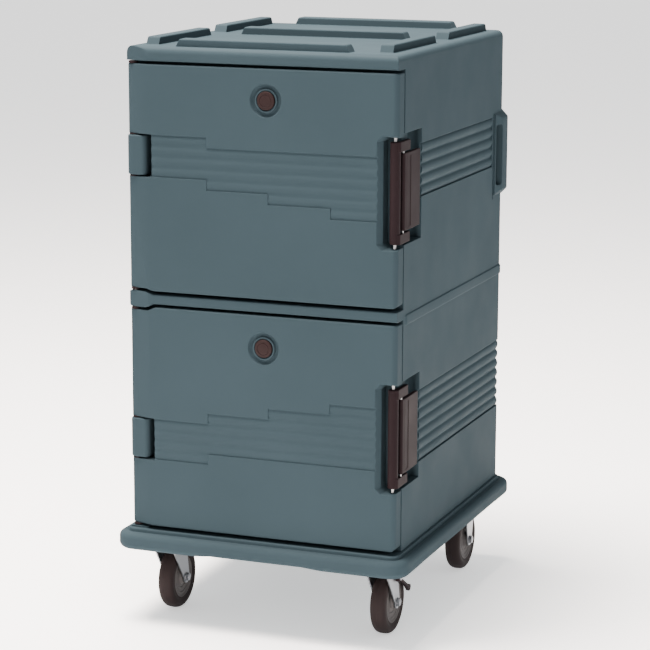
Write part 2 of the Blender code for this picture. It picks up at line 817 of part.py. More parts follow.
def build_door(door):
    name = door["name"]
    bottom, top = door["door"]
    open_bottom, open_top = door["opening"]
    bushes, bush_holes = build_hinge(door)
    shell = prism(name + "_door_shell", door_outline(), bottom, top, "Z", "shell_plastic")
    plug = box(
        name + "_plug",
        (-HALF_PLUG, DOOR_BACK - 10, open_bottom + 10),
        (HALF_PLUG, PLUG_BACK, open_top - 10),
        radius=8,
    )
    join(shell, plug)
    knuckle_bottom, knuckle_top = door["knuckle"]
    notch = box(
        name + "_knuckle_notch",
        (-HALF_WIDTH - 10, DOOR_FRONT - 10, knuckle_bottom - KNUCKLE_CLEARANCE),
        (NOTCH_RIGHT, DOOR_BACK + 2, knuckle_top + KNUCKLE_CLEARANCE),
    )
    latch_bottom, latch_top = door["latch"]
    pocket = box(
        name + "_latch_pocket",
        (LATCH_LEFT, DOOR_FRONT - 10, latch_bottom),
        (HALF_WIDTH + 10, DOOR_BACK + 10, latch_top),
    )
    cut(shell, notch, pocket, vent_cutter(door), door_flutes(door))
    end_bottom, end_top = door["hinge_ends"]
    for number, (low, high) in enumerate(((bottom - 5, end_bottom), (end_top, top + 5))):
        if high - low > 5:
            corner_low = (-HALF_WIDTH - 10, DOOR_FRONT - 10, low)
            corner_high = (KNOB_RIGHT + 3, DOOR_BACK + 2, high)
            cut(shell, box(f"{name}_hinge_corner_{number}", corner_low, corner_high))
    cut(shell, door_foam(name + "_door_cavity", door, 0.0), *bush_holes)
    pin_hole = rod(
        name + "_latch_pin_hole",
        LATCH_PIN + GAP,
        latch_bottom - 9,
        latch_top + 9,
        (LINK_X, LINK_Y, 0),
    )
    fill_port = rod(name + "_fill_port", FILL_RADIUS, top - 60, top + 5, FILL_PLACE)
    cut(shell, pin_hole, fill_port)
    foam = door_foam(name + "_door_foam", door, GAP, "foam")
    gasket = frame_ring(
        name + "_door_gasket",
        HALF_PLUG + 1.5,
        open_bottom + 8.5,
        open_top - 8.5,
        GASKET_WIDTH,
        DOOR_BACK + GAP,
        CABINET_FRONT - GAP,
        "gasket_rubber",
    )
    latch_pin = rod(
        name + "_latch_pin",
        LATCH_PIN,
        latch_bottom - 8.5,
        latch_top + 8.5,
        (LINK_X, LINK_Y, 0),
        material="stainless_steel",
    )
    hinge = hold(name + "_door_hinge", (HINGE_X, HINGE_Y, 0), shell, foam, gasket, latch_pin, *bushes)
    build_vent(door, hinge)
    build_latch(door, hinge)


def attach(empty, parent):
    empty.parent = parent
    empty.matrix_parent_inverse = Matrix.Translation(-parent.location)


def build_vent(door, hinge):
    name = door["name"]
    x, z = door["vent"]
    centre = (x, DOOR_FRONT, z)
    stem = VENT_RADIUS - 0.5
    cap_profile = [
        (0, 1.5),
        (VENT_HEAD - 4, 1.5),
        (VENT_HEAD, -0.5),
        (VENT_HEAD, -5.5),
        (stem, -5.5),
        (stem, -34),
        (0, -34),
    ]
    cap = turned(name + "_vent_cap", cap_profile, centre, "Y", "vent_plastic")
    seal_profile = [
        (stem + GAP, -5.8),
        (VENT_HEAD - 3, -5.8),
        (VENT_HEAD - 3, -VENT_DEPTH + GAP),
        (stem + GAP, -VENT_DEPTH + GAP),
    ]
    seal = turned(
        name + "_vent_seal", seal_profile, centre, "Y", "gasket_rubber", ring=True, steps=16
    )
    attach(hold(name + "_vent_slide", centre, cap, seal), hinge)


def build_latch(door, hinge):
    """A draw latch: a C-shaped link turning on the door, and a lever turning on the link's arms."""
    name = door["name"]
    bottom, top = door["latch"][0] + 10, door["latch"][1] - 9
    link_axis = (LINK_X, LINK_Y, 0)
    link = rod(
        name + "_latch_link", LINK_RADIUS, bottom, top, link_axis, material="brown_nylon", steps=16
    )
    arms = []
    for number, low in enumerate((bottom, top - ARM_HEIGHT)):
        outline = [
            (LINK_X, LINK_Y - LINK_RADIUS + 0.6),
            (ARM_OUTSIDE - 2, LINK_Y - 6),
            (ARM_OUTSIDE, LINK_Y),
            (ARM_OUTSIDE, ARM_BACK - 3),
            (ARM_OUTSIDE - 3, ARM_BACK),
            (ARM_INSIDE, ARM_BACK),
            (ARM_INSIDE, CABINET_FRONT - 6),
            (LINK_X, LINK_Y + LINK_RADIUS - 0.6),
        ]
        arms.append(prism(f"{name}_arm_{number}", outline, low, low + ARM_HEIGHT))
    join(link, *arms)
    cut(link, rod(name + "_link_bore", LATCH_PIN + GAP, bottom - 5, top + 5, link_axis))
    lever_axis = (LEVER_X, LEVER_Y, 0)
    lever_low, lever_high = bottom + ARM_HEIGHT + 5, top - ARM_HEIGHT - 4
    pin_low, pin_high = bottom + 5, top - 5
    pin_hole = LEVER_PIN + GAP
    cut(link, rod(name + "_lever_pin_hole", pin_hole, pin_low - 0.5, pin_high + 0.5, lever_axis))
    lever_pin = rod(
        name + "_lever_pin", LEVER_PIN, pin_low, pin_high, lever_axis, material="stainless_steel"
    )
    front = arc((LEVER_X, LEVER_Y), LEVER_RADIUS, 180, 360, 6)
    outline = [
        *front,
        (LEVER_X + 6, -320),
        (LEVER_X + 5.5, LEVER_BACK + 4),
        (LEVER_X + 2, LEVER_BACK),
        (LEVER_X - 3, LEVER_BACK),
        (LEVER_X - 4, LEVER_BACK + 6),
        (LEVER_X - 4, -304),
        (LEVER_X - 6.2, -305),
        (LEVER_X - 6.2, -311),
        (LEVER_X - 4, -312),
    ]
    lever = prism(name + "_latch_lever", outline, lever_low, lever_high, "Z", "brown_nylon")
    cut(lever, rod(name + "_lever_bore", pin_hole, lever_low - 5, lever_high + 5, lever_axis))
    link_turn = hold(name + "_latch_turn", link_axis, link, lever_pin)
    attach(link_turn, hinge)
    attach(hold(name + "_lever_turn", lever_axis, lever), link_turn)


# Casters


def fork_leg_outline(y, top, trail):
    """Side view (y, z) of a fork leg: wide at the crown, round about the axle."""
    axle_y, axle_z, eye = y + trail, WHEEL_RADIUS, 15.0
    round_end = arc((axle_y, axle_z), eye, 180, 360, 6)
    return [*round_end, (y + 36, top - 18), (y + 36, top), (y - 34, top), (y - 34, top - 14)]


def build_plate(name, x, y, material=None):
    low = (x - PLATE_HALF_X + 1, y - PLATE_HALF_Y + 1, PLATE_BOTTOM)
    high = (x + PLATE_HALF_X - 1, y + PLATE_HALF_Y - 1, PLATE_TOP)
    return box(name, low, high, material, radius=8, segments=2, rounded=along("Z"))


def stud_places(x, y):
    return [(x + sx * STUD_X, y + sy * STUD_Y, 0) for sx in (-1, 1) for sy in (-1, 1)]


def stud_plate(name, x, y):
    """A backing plate with four studs, let into the base, that the caster is bolted to."""
    low = (x - PLATE_HALF_X + 2, y - PLATE_HALF_Y + 2, BASE_UNDERSIDE + GAP)
    high = (x + PLATE_HALF_X - 2, y + PLATE_HALF_Y - 2, BASE_UNDERSIDE + 3.5)
    plate = box(name, low, high, "zinc_steel")
    for number, place in enumerate(stud_places(x, y)):
        stud = rod(f"{name}_stud_{number}", STUD_RADIUS, 176, BASE_UNDERSIDE + 2, place, steps=8)
        join(plate, stud)
    return plate


def drill_for_studs(piece, x, y):
    for number, place in enumerate(stud_places(x, y)):
        hole = rod(f"{piece.name}_hole_{number}", STUD_RADIUS + GAP, 170, 200, place, steps=8)
        cut(piece, hole)


def build_wheel(name, x, y):
    """A soft tyre on a plastic hub, turning on the axle."""
    centre = (x, y, WHEEL_RADIUS)
    w, r = WHEEL_HALF_WIDTH, WHEEL_RADIUS
    tyre_profile = [
        (HUB_RADIUS + GAP, w - 2),
        (r - 9, w),
        (r, w - 8),
        (r, 8 - w),
        (r - 9, -w),
        (HUB_RADIUS + GAP, 2 - w),
    ]
    tyre = turned(
        name + "_tyre", tyre_profile, centre, "X", "tyre_rubber", ring=True, steps=TYRE_STEPS
    )
    bore = AXLE_RADIUS + GAP
    hub_profile = [
        (bore, w + 1.5),
        (16, w + 1.5),
        (19, w - 6),
        (42, w - 6),
        (HUB_RADIUS, w - 2),
        (HUB_RADIUS, 2 - w),
        (42, 6 - w),
        (19, 6 - w),
        (16, -w - 1.5),
        (bore, -w - 1.5),
    ]
    hub = turned(name + "_hub", hub_profile, centre, "X", "hub_plastic", ring=True)
    return tyre, hub, hold(name + "_wheel_turn", centre, tyre, hub)


def build_axle(name, x, y):
    head, end = 11.0, FORK_OUTSIDE + GAP
    profile = [
        (0, end + 7),
        (head, end + 6),
        (head, end),
        (AXLE_RADIUS, end),
        (AXLE_RADIUS, -end),
        (head, -end),
        (head, -end - 6),
        (0, -end - 7),
    ]
    centre = (x, y, WHEEL_RADIUS)
    return turned(name + "_axle", profile, centre, "X", "zinc_steel", steps=SMALL_STEPS)


def build_fork(name, x, y, trail, top):
    """Crown and two legs; the swivel fork also has the round bearing cap under its plate."""
    crown = box(
        name + "_fork",
        (x - FORK_OUTSIDE + 0.5, y - 33, 160),
        (x + FORK_OUTSIDE - 0.5, y + 35, top),
        "zinc_steel",
    )
    for side in (-1, 1):
        near, far = sorted((x + side * FORK_INSIDE, x + side * FORK_OUTSIDE))
        leg = prism(
            f"{name}_leg_{side}", fork_leg_outline(y, top - 5, trail), near, far, "X"
        )
        join(crown, leg)
    axle_hole = rod(
        name + "_axle_hole",
        AXLE_RADIUS + GAP,
        -60,
        60,
        (x, y + trail, WHEEL_RADIUS),
        "X",
    )
    cut(crown, axle_hole)
    return crown


def build_swivel_caster(name, x, y):
    plate = build_plate(name + "_caster_plate", x, y, "zinc_steel")
    drill_for_studs(plate, x, y)
    cut(plate, rod(name + "_plate_bore", KINGPIN_RADIUS + GAP, 170, 200, (x, y, 0)))
    stud_plate(name + "_stud_plate", x, y)
    fork = build_fork(name, x, y, TRAIL, 174)
    cap_top = PLATE_BOTTOM - GAP
    cap_profile = [(0, cap_top), (33, cap_top), (36, cap_top - 3), (36, 173), (31, 168), (0, 168)]
    join(fork, turned(name + "_bearing_cap", cap_profile, (x, y, 0), steps=16))
    cut(fork, rod(name + "_king_bore", KINGPIN_RADIUS + GAP, 140, 200, (x, y, 0)))
    king_profile = [
        (0, PLATE_TOP - 0.5),
        (KINGPIN_RADIUS, PLATE_TOP - 0.5),
        (KINGPIN_RADIUS, 160 - GAP),
        (10, 160 - GAP),
        (10, 155),
        (0, 155),
    ]
    turned(name + "_kingpin", king_profile, (x, y, 0), "Z", "zinc_steel", steps=SMALL_STEPS)
    axle = build_axle(name, x, y + TRAIL)
    swivel = hold(name + "_swivel", (x, y, 0), fork, axle)
    _, _, wheel = build_wheel(name, x, y + TRAIL)
    attach(wheel, swivel)
    return swivel


def build_rigid_caster(name, x, y):
    fork = build_fork(name, x, y, 0.0, PLATE_BOTTOM + 2)
    join(fork, build_plate(name + "_plate_blank", x, y))
    drill_for_studs(fork, x, y)
    stud_plate(name + "_stud_plate", x, y)
    build_axle(name, x, y)
    build_wheel(name, x, y)


def build_brake(name, x, y):
    """A foot pedal and the pin on the fork's outer leg that it turns on."""
    outside = x + FORK_OUTSIDE
    pivot = (outside, y + 26, 138)
    pin_profile = [(0, 12), (6, 12), (6, 9.5), (3, 9.5), (3, -3), (0, -3)]
    pin = turned(name + "_brake_pin", pin_profile, pivot, "X", "zinc_steel", steps=8)
    outline = [
        (pivot[1] - 9, pivot[2] - 9),
        (pivot[1] + 2, pivot[2] - 10),
        (pivot[1] + 46, pivot[2] + 2),
        (pivot[1] + 52, pivot[2] + 10),
        (pivot[1] + 46, pivot[2] + 14),
        (pivot[1], pivot[2] + 9),
        (pivot[1] - 9, pivot[2] + 6),
    ]
    pedal = prism(name + "_brake_pedal", outline, outside + GAP, outside + 9, "X", "brown_nylon")
    cut(pedal, rod(name + "_pedal_bore", 3.3, -20, 20, pivot, "X", steps=8))
    return pin, pedal, pivot


def build_casters():
    for name, x, y, swivels in caster_places():
        if swivels:
            swivel = build_swivel_caster(name, x, y)
            if name == "front_right":
                pin, pedal, pivot = build_brake(name, x, y)
                pin.parent = swivel
                pin.matrix_parent_inverse = Matrix.Translation(-swivel.location)
                cut(
                    bpy.data.objects[name + "_fork"],
                    rod(name + "_brake_pin_hole", 3.3, -10, 5, pivot, "X", steps=8),
                )
                attach(hold(name + "_pedal_turn", pivot, pedal), swivel)
        else:
            build_rigid_caster(name, x, y)


def shade():
    for obj in PARTS.objects:
        if obj.type == "MESH":
            obj.data.shade_smooth()
            obj.data.set_sharp_from_angle(angle=math.radians(35))


build_cabinet()
build_base()
for each_door in DOORS:
    build_door(each_door)
build_casters()
shade()
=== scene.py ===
"""The looks of an insulated food carrier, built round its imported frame.

The carrier is a moulded cabinet with two doors, draw latches, a bumper base and four casters.
Sizes are millimetres in the frame's own axes: +X right, +Y back, +Z up, the doors facing -Y.
"""

import json
import logging
import math
from dataclasses import dataclass
from enum import Enum
from typing import Callable, Iterable, Optional, Sequence

import bmesh
import bpy
from mathutils import Matrix, Vector


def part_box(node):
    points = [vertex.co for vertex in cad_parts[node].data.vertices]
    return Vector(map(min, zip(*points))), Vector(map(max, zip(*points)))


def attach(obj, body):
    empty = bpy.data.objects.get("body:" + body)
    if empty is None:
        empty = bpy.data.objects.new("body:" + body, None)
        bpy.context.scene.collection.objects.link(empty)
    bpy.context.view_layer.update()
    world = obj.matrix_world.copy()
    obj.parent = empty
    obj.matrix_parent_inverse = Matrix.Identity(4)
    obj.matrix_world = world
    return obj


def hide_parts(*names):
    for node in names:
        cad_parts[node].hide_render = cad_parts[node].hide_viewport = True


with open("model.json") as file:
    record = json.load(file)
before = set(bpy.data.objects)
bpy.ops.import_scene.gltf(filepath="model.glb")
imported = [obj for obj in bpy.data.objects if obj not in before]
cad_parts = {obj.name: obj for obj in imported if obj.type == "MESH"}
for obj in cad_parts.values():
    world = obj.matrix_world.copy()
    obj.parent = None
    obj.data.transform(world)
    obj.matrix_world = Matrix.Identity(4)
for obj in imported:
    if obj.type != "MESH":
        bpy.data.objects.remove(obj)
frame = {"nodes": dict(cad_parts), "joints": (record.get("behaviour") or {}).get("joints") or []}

LOG = logging.getLogger("carrier")
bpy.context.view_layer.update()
MM = 0.001
POLE = 1e-6  # a turned point nearer the axis than this is a pole
SHARP_ANGLE = math.radians(34)
DRIFT_WAVES = 3.2  # waves a metre of the slow drift in a colour
FLECK_WAVES = 1500.0
SHEEN_WAVES = 11.0
SHEEN_SWING = 0.05  # how far the roughness wanders

# Driving places shared by the sub-assemblies, and the radii of the bores that pins run in
HALF_WIDTH = 330.0
DOOR_FRONT = -392.5
CABINET_FRONT = -347.0
HINGE_BORE = 4.3
LATCH_BORE = 3.8
LEVER_BORE = 2.8

Point = tuple[float, float]
Place = tuple[float, float, float]
EdgeTest = Callable[[bmesh.types.BMEdge], bool]


def node_box(node: str) -> tuple[Vector, Vector]:
    """Where a CAD node is, in millimetres.

    Args:
        node: The CAD node's name.

    Returns:
        Its lowest and its highest corner.
    """
    low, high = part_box(node)
    return low / MM, high / MM


def node_centre(node: str) -> Vector:
    """The middle of a CAD node's box, in millimetres.

    Args:
        node: The CAD node's name.

    Returns:
        The middle point.
    """
    low, high = node_box(node)
    return (low + high) / 2


def joint_axis_point(name: str) -> Vector:
    """A point on a joint's axis, in millimetres.

    Args:
        name: The joint's name.

    Returns:
        The point that the record gives for it.
    """
    joint = next(joint for joint in frame["joints"] if joint["name"] == name)
    return Vector(joint["pos_m"]) / MM


def arc(centre: Point, radius: float, start: float, end: float, steps: int = 6) -> list[Point]:
    """Points along a round stretch of an outline.

    Args:
        centre: The arc's centre.
        radius: Its radius.
        start: Where it starts, in degrees anticlockwise from the first axis.
        end: Where it ends.
        steps: How many straight pieces stand for it.

    Returns:
        The points, the two ends among them.
    """
    angles = [math.radians(start + (end - start) * step / steps) for step in range(steps + 1)]
    return [(centre[0] + radius * math.cos(a), centre[1] + radius * math.sin(a)) for a in angles]


def runs_along(axis: str) -> EdgeTest:
    """A test for the edges that run along one axis.

    Args:
        axis: X, Y or Z.

    Returns:
        The test.
    """
    index = "XYZ".index(axis)

    def test(edge: bmesh.types.BMEdge) -> bool:
        """True if the edge runs along the axis."""
        span = edge.verts[0].co - edge.verts[1].co
        return abs(span[index]) > 0.99 * span.length

    return test


def lies_at(axis: str, *levels: float) -> EdgeTest:
    """A test for the edges that lie wholly at one of some levels.

    Args:
        axis: The axis that the levels are measured along.
        levels: The levels, in millimetres.

    Returns:
        The test.
    """
    index = "XYZ".index(axis)

    def test(edge: bmesh.types.BMEdge) -> bool:
        """True if both ends of the edge are at the same one of the levels."""
        return any(all(abs(v.co[index] - level) < 0.01 for v in edge.verts) for level in levels)

    return test


# Finishes


class Grain(Enum):
    """The fine relief that a finish has."""

    PEBBLE = "pebble"
    SATIN = "satin"
    RUBBER = "rubber"
    BRUSHED = "brushed"
    SPANGLE = "spangle"


@dataclass(frozen=True)
class Relief:
    """How a grain is drawn: its scale in waves a metre, its depth in metres, and its detail."""

    scale: float
    depth: float
    strength: float
    detail: float = 3.0
    stretch: Place = (1.0, 1.0, 1.0)


RELIEFS = {
    Grain.PEBBLE: Relief(420.0, 0.00025, 0.22),
    Grain.SATIN: Relief(650.0, 0.00012, 0.16),
    Grain.RUBBER: Relief(520.0, 0.0003, 0.3),
    Grain.BRUSHED: Relief(300.0, 0.0001, 0.12, 2.0, (8.0, 1.0, 1.0)),
    Grain.SPANGLE: Relief(140.0, 0.0001, 0.15),
}


class NodeTree:
    """A node tree, with short ways to add and join nodes."""

    tree: bpy.types.NodeTree

    def add(self, kind: str, **settings: object) -> bpy.types.Node:
        """Adds a node.

        Args:
            kind: The node's type.
            settings: Its properties.

        Returns:
            The node.
        """
        node = self.tree.nodes.new(kind)
        for name, value in settings.items():
            setattr(node, name, value)
        return node

    def join(self, source: bpy.types.NodeSocket, target: bpy.types.NodeSocket) -> None:
        """Links an output to an input."""
        self.tree.links.new(source, target)


class Graph(NodeTree):
    """A material's node tree."""

    def __init__(self, material: bpy.types.Material) -> None:
        """Takes over a material's tree.

        Args:
            material: The material whose tree is filled.
        """
        material.use_nodes = True
        self.tree = material.node_tree
        self.shader = self.tree.nodes["Principled BSDF"]
        self.place = self.add("ShaderNodeTexCoord").outputs["Object"]

    def noise(self, scale: float, detail: float, stretch: Place = (1, 1, 1)) -> bpy.types.NodeSocket:
        """A noise in the object's own coordinates.

        Args:
            scale: Waves in a metre.
            detail: How many finer layers it has.
            stretch: How much finer it is along each axis.

        Returns:
            The noise's value.
        """
        mapping = self.add("ShaderNodeMapping")
        mapping.inputs["Scale"].default_value = stretch
        self.join(self.place, mapping.inputs["Vector"])
        noise = self.add("ShaderNodeTexNoise")
        noise.inputs["Scale"].default_value = scale
        noise.inputs["Detail"].default_value = detail
        self.join(mapping.outputs["Vector"], noise.inputs["Vector"])
        return noise.outputs["Fac"]

    def spread(
        self, source: bpy.types.NodeSocket, low: float, high: float, ends: Point = (0.3, 0.7)
    ) -> bpy.types.NodeSocket:
        """Maps a noise's middle stretch on to a range.

        Args:
            source: The noise.
            low: What its low end becomes.
            high: What its high end becomes.
            ends: The stretch of the noise that is used.

        Returns:
            The mapped value.
        """
        node = self.add("ShaderNodeMapRange")
        node.inputs["From Min"].default_value = ends[0]
        node.inputs["From Max"].default_value = ends[1]
        node.inputs["To Min"].default_value = low
        node.inputs["To Max"].default_value = high
        self.join(source, node.inputs["Value"])
        return node.outputs["Result"]

    def blend(
        self, share: bpy.types.NodeSocket, first: object, second: object
    ) -> bpy.types.NodeSocket:
        """Mixes two colours.

        Args:
            share: How much of the second colour there is.
            first: A colour or a socket.
            second: A colour or a socket.

        Returns:
            The mixed colour.
        """
        node = self.add("ShaderNodeMix", data_type="RGBA")
        self.join(share, node.inputs["Factor"])
        for socket, value in ((node.inputs[6], first), (node.inputs[7], second)):
            if isinstance(value, bpy.types.NodeSocket):
                self.join(value, socket)
            else:
                socket.default_value = value
        return node.outputs[2]


@dataclass(frozen=True)
class Finish:
    """One material: its slot in the record, its colours and how it catches the light."""

    name: str
    slot: str
    colour: Place
    roughness: float
    grain: Grain
    metallic: float = 0.0
    mottle: float = 0.08  # how far the colour drifts, as a share
    edge_radius: float = 0.0  # radius in metres by which sharp rims look rounded
    rim_wear_and_highlight: float = 0.0  # how much paler the rims are, as rubbed wear and painted highlight
    speckle: float = 0.0  # fine flecks, as a share of the colour
    specular: float = 0.5

    def shade(self, share: float) -> tuple[float, float, float, float]:
        """The colour, lighter or darker by a share."""
        return (*(min(1.0, part * (1 + share)) for part in self.colour), 1.0)

    def material(self) -> bpy.types.Material:
        """Builds the material once, and gives the same one after that.

        Returns:
            The material.
        """
        made = bpy.data.materials.get(self.name)
        if made:
            return made
        made = bpy.data.materials.new(self.name)
        graph = Graph(made)
        relief = RELIEFS[self.grain]
        drift = graph.noise(DRIFT_WAVES, 4.0)
        tone = graph.blend(
            graph.spread(drift, 0.0, 1.0), self.shade(-self.mottle), self.shade(self.mottle)
        )
        if self.speckle:
            flecks = graph.spread(graph.noise(FLECK_WAVES, 1.0), 0.0, 1.0, (0.58, 0.72))
            tone = graph.blend(flecks, tone, self.shade(self.speckle))
        bump = graph.add("ShaderNodeBump")
        bump.inputs["Strength"].default_value = relief.strength
        bump.inputs["Distance"].default_value = relief.depth
        graph.join(
            graph.noise(relief.scale, relief.detail, relief.stretch), bump.inputs["Height"]
        )
        if self.edge_radius:
            bevel = graph.add("ShaderNodeBevel", samples=6)
            bevel.inputs["Radius"].default_value = self.edge_radius
            graph.join(bevel.outputs["Normal"], bump.inputs["Normal"])
            # Rims are painted paler: partly rubbed wear, partly painted highlight.
            if self.rim_wear_and_highlight:
                tone = self.pale_rims_wear_and_highlight(graph, bevel, tone)
        graph.join(tone, graph.shader.inputs["Base Color"])
        graph.join(bump.outputs["Normal"], graph.shader.inputs["Normal"])
        low, high = self.roughness - SHEEN_SWING, self.roughness + SHEEN_SWING
        rough = graph.spread(graph.noise(SHEEN_WAVES, 5.0), low, high)
        graph.join(rough, graph.shader.inputs["Roughness"])
        graph.shader.inputs["Metallic"].default_value = self.metallic
        graph.shader.inputs["Specular IOR Level"].default_value = self.specular
        return made

    def pale_rims_wear_and_highlight(
        self, graph: Graph, bevel: bpy.types.Node, tone: bpy.types.NodeSocket
    ) -> bpy.types.NodeSocket:
        """Makes rims a little paler: rubbed wear where handling rubs them, and painted highlight.

        Args:
            graph: The material's nodes.
            bevel: The node that rounds the rims.
            tone: The colour so far.

        Returns:
            The colour with its paler rims, worn and with painted highlight.
        """
        flat = graph.add("ShaderNodeNewGeometry").outputs["Normal"]
        turn = graph.add("ShaderNodeVectorMath", operation="DOT_PRODUCT")
        graph.join(bevel.outputs["Normal"], turn.inputs[0])
        graph.join(flat, turn.inputs[1])
        # The rim mask: rims that turn away from the flat face are painted paler, as wear and painted
        # highlight.
        rim = graph.spread(turn.outputs["Value"], 1.0, 0.0, (0.75, 0.99))
        return graph.blend(rim, tone, self.shade(self.rim_wear_and_highlight))


SHELL = Finish(
    "slate_moulded_plastic",
    "shell_plastic",
    (0.0255, 0.0392, 0.0468),
    0.6,
    Grain.PEBBLE,
    mottle=0.05,
    edge_radius=0.0025,
    # rims painted paler: rubbed wear and painted highlight
    rim_wear_and_highlight=0.35,
    speckle=0.14,
    specular=0.015,
)
NYLON = Finish(
    "dark_brown_nylon",
    "brown_nylon",
    (0.0135, 0.0085, 0.0096),
    0.5,
    Grain.SATIN,
    mottle=0.12,
    edge_radius=0.0008,
    # rims painted paler: rubbed wear and painted highlight
    rim_wear_and_highlight=0.4,
    specular=0.02,
)
VENT = Finish(
    "red_brown_plastic", "vent_plastic", (0.017, 0.0098, 0.0098), 0.5, Grain.SATIN, mottle=0.1,
    specular=0.05,
)
STEEL = Finish(
    "brushed_stainless", "stainless_steel", (0.3, 0.3, 0.3), 0.35, Grain.BRUSHED, metallic=1.0
)
ZINC = Finish(
    "zinc_plate",
    "zinc_steel",
    (0.24, 0.245, 0.26),
    0.36,
    Grain.SPANGLE,
    metallic=1.0,
    mottle=0.16,
    edge_radius=0.0006,
)
TYRE = Finish(
    "soft_tyre_rubber", "tyre_rubber", (0.017, 0.0115, 0.0115), 0.7, Grain.RUBBER, specular=0.1,
)
HUB = Finish(
    "grey_hub_plastic", "hub_plastic", (0.085, 0.078, 0.077), 0.6, Grain.SATIN, mottle=0.1,
    edge_radius=0.0008, specular=0.05,
)
GASKET = Finish("black_gasket_rubber", "gasket_rubber", (0.012, 0.012, 0.012), 0.7, Grain.RUBBER)


# Solids


class Solid:
    """A closed mesh, shaped by joining and cutting, and then handed over as a piece."""

    def __init__(self, name: str, bm: bmesh.types.BMesh) -> None:
        """Makes an object of a mesh.

        Args:
            name: The solid's name.
            bm: Its mesh in millimetres, which is used up.
        """
        bmesh.ops.remove_doubles(bm, verts=bm.verts, dist=0.001)
        bmesh.ops.recalc_face_normals(bm, faces=bm.faces)
        bmesh.ops.scale(bm, vec=(MM, MM, MM), verts=bm.verts)
        mesh = bpy.data.meshes.new(name)
        bm.to_mesh(mesh)
        bm.free()
        self.obj = bpy.data.objects.new(name, mesh)
        bpy.context.scene.collection.objects.link(self.obj)

    @classmethod
    def block(
        cls,
        name: str,
        low: Sequence[float],
        high: Sequence[float],
        radius: float = 0.0,
        edges: Optional[EdgeTest] = None,
        segments: int = 4,
    ) -> "Solid":
        """A block between two corners.

        Args:
            name: Its name.
            low: The lowest corner.
            high: The highest corner.
            radius: The radius of its rounded edges.
            edges: Which edges are rounded; all by default.
            segments: How many faces a rounded edge has.

        Returns:
            The solid.
        """
        bm = bmesh.new()
        bmesh.ops.create_cube(bm, size=1.0)
        bmesh.ops.scale(bm, vec=[b - a for a, b in zip(low, high)], verts=bm.verts)
        bmesh.ops.translate(bm, vec=[(a + b) / 2 for a, b in zip(low, high)], verts=bm.verts)
        if radius:
            round_off(bm, radius, edges, segments)
        return cls(name, bm)

    @classmethod
    def prism(
        cls,
        name: str,
        outline: Sequence[Point],
        low: float,
        high: float,
        axis: str = "Z",
        rounds: Iterable[tuple[float, EdgeTest]] = (),
        segments: int = 4,
    ) -> "Solid":
        """A flat outline made thick along an axis.

        Args:
            name: Its name.
            outline: Points (x, y), (y, z) or (x, z) for the axes Z, X or Y.
            low: Where it starts on the axis.
            high: Where it ends.
            axis: The axis.
            rounds: Radii, each with the test for the edges that get it.
            segments: How many faces a rounded edge has.

        Returns:
            The solid.
        """
        where = {
            "X": lambda a, b: (low, a, b),
            "Y": lambda a, b: (a, low, b),
            "Z": lambda a, b: (a, b, low),
        }[axis]
        bm = bmesh.new()
        face = bm.faces.new([bm.verts.new(where(a, b)) for a, b in outline])
        made = bmesh.ops.extrude_face_region(bm, geom=[face])["geom"]
        moved = [item for item in made if isinstance(item, bmesh.types.BMVert)]
        shift = Vector((0.0, 0.0, 0.0))
        shift["XYZ".index(axis)] = high - low
        bmesh.ops.translate(bm, vec=shift, verts=moved)
        bmesh.ops.recalc_face_normals(bm, faces=bm.faces)
        for radius, test in rounds:
            round_off(bm, radius, test, segments)
        return cls(name, bm)

    @classmethod
    def turned(
        cls,
        name: str,
        profile: Sequence[Point],
        centre: Sequence[float],
        axis: str = "Z",
        ring: bool = False,
        steps: int = 64,
    ) -> "Solid":
        """A profile turned about an axis.

        Args:
            name: Its name.
            profile: Points (radius, height). Height runs along +Z, +X or, for Y, outwards along -Y.
            centre: The point on the axis that heights are measured from.
            axis: The axis.
            ring: True if the profile's last point joins its first.
            steps: How many faces go round.

        Returns:
            The solid.
        """
        middle = Vector(centre)
        place = {
            "X": lambda r, h, c, s: Vector((h, r * c, r * s)),
            "Y": lambda r, h, c, s: Vector((r * c, -h, r * s)),
            "Z": lambda r, h, c, s: Vector((r * c, r * s, h)),
        }[axis]
        turns = [2 * math.pi * step / steps for step in range(steps)]
        bm = bmesh.new()
        rows = []
        for radius, height in profile:
            if radius < POLE:
                rows.append([bm.verts.new(middle + place(0, height, 1, 0))])
            else:
                points = [place(radius, height, math.cos(a), math.sin(a)) for a in turns]
                rows.append([bm.verts.new(middle + point) for point in points])
        pairs = list(zip(rows, rows[1:]))
        if ring:
            pairs.append((rows[-1], rows[0]))
        for row, following in pairs:
            stitch(bm, row, following)
        return cls(name, bm)

    @classmethod
    def loft(
        cls,
        name: str,
        rings: Sequence[tuple[float, float, float, float]],
        centre: Place = (0.0, 0.0, 0.0),
        axis: str = "Z",
        closed: bool = False,
        steps: int = 8,
    ) -> "Solid":
        """A stack of rounded rectangles, skinned over.

        Args:
            name: Its name.
            rings: Each one's half width, half depth, corner radius and place on the axis.
            centre: The middle of the stack.
            axis: Z for rings in plan, Y for rings seen from the front.
            closed: True if the last ring joins the first, as round a frame.
            steps: How many faces a corner has.

        Returns:
            The solid.
        """
        bm = bmesh.new()
        rows = []
        for half_a, half_b, radius, height in rings:
            points = rounded_rectangle(half_a, half_b, radius, steps)
            if axis == "Z":
                spots = [Vector((a, b, height)) for a, b in points]
            else:
                spots = [Vector((a, height, b)) for a, b in points]
            rows.append([bm.verts.new(Vector(centre) + spot) for spot in spots])
        for row, following in zip(rows, rows[1:]):
            stitch(bm, row, following)
        if closed:
            stitch(bm, rows[-1], rows[0])
        else:
            bm.faces.new(rows[0])
            bm.faces.new(rows[-1])
        return cls(name, bm)

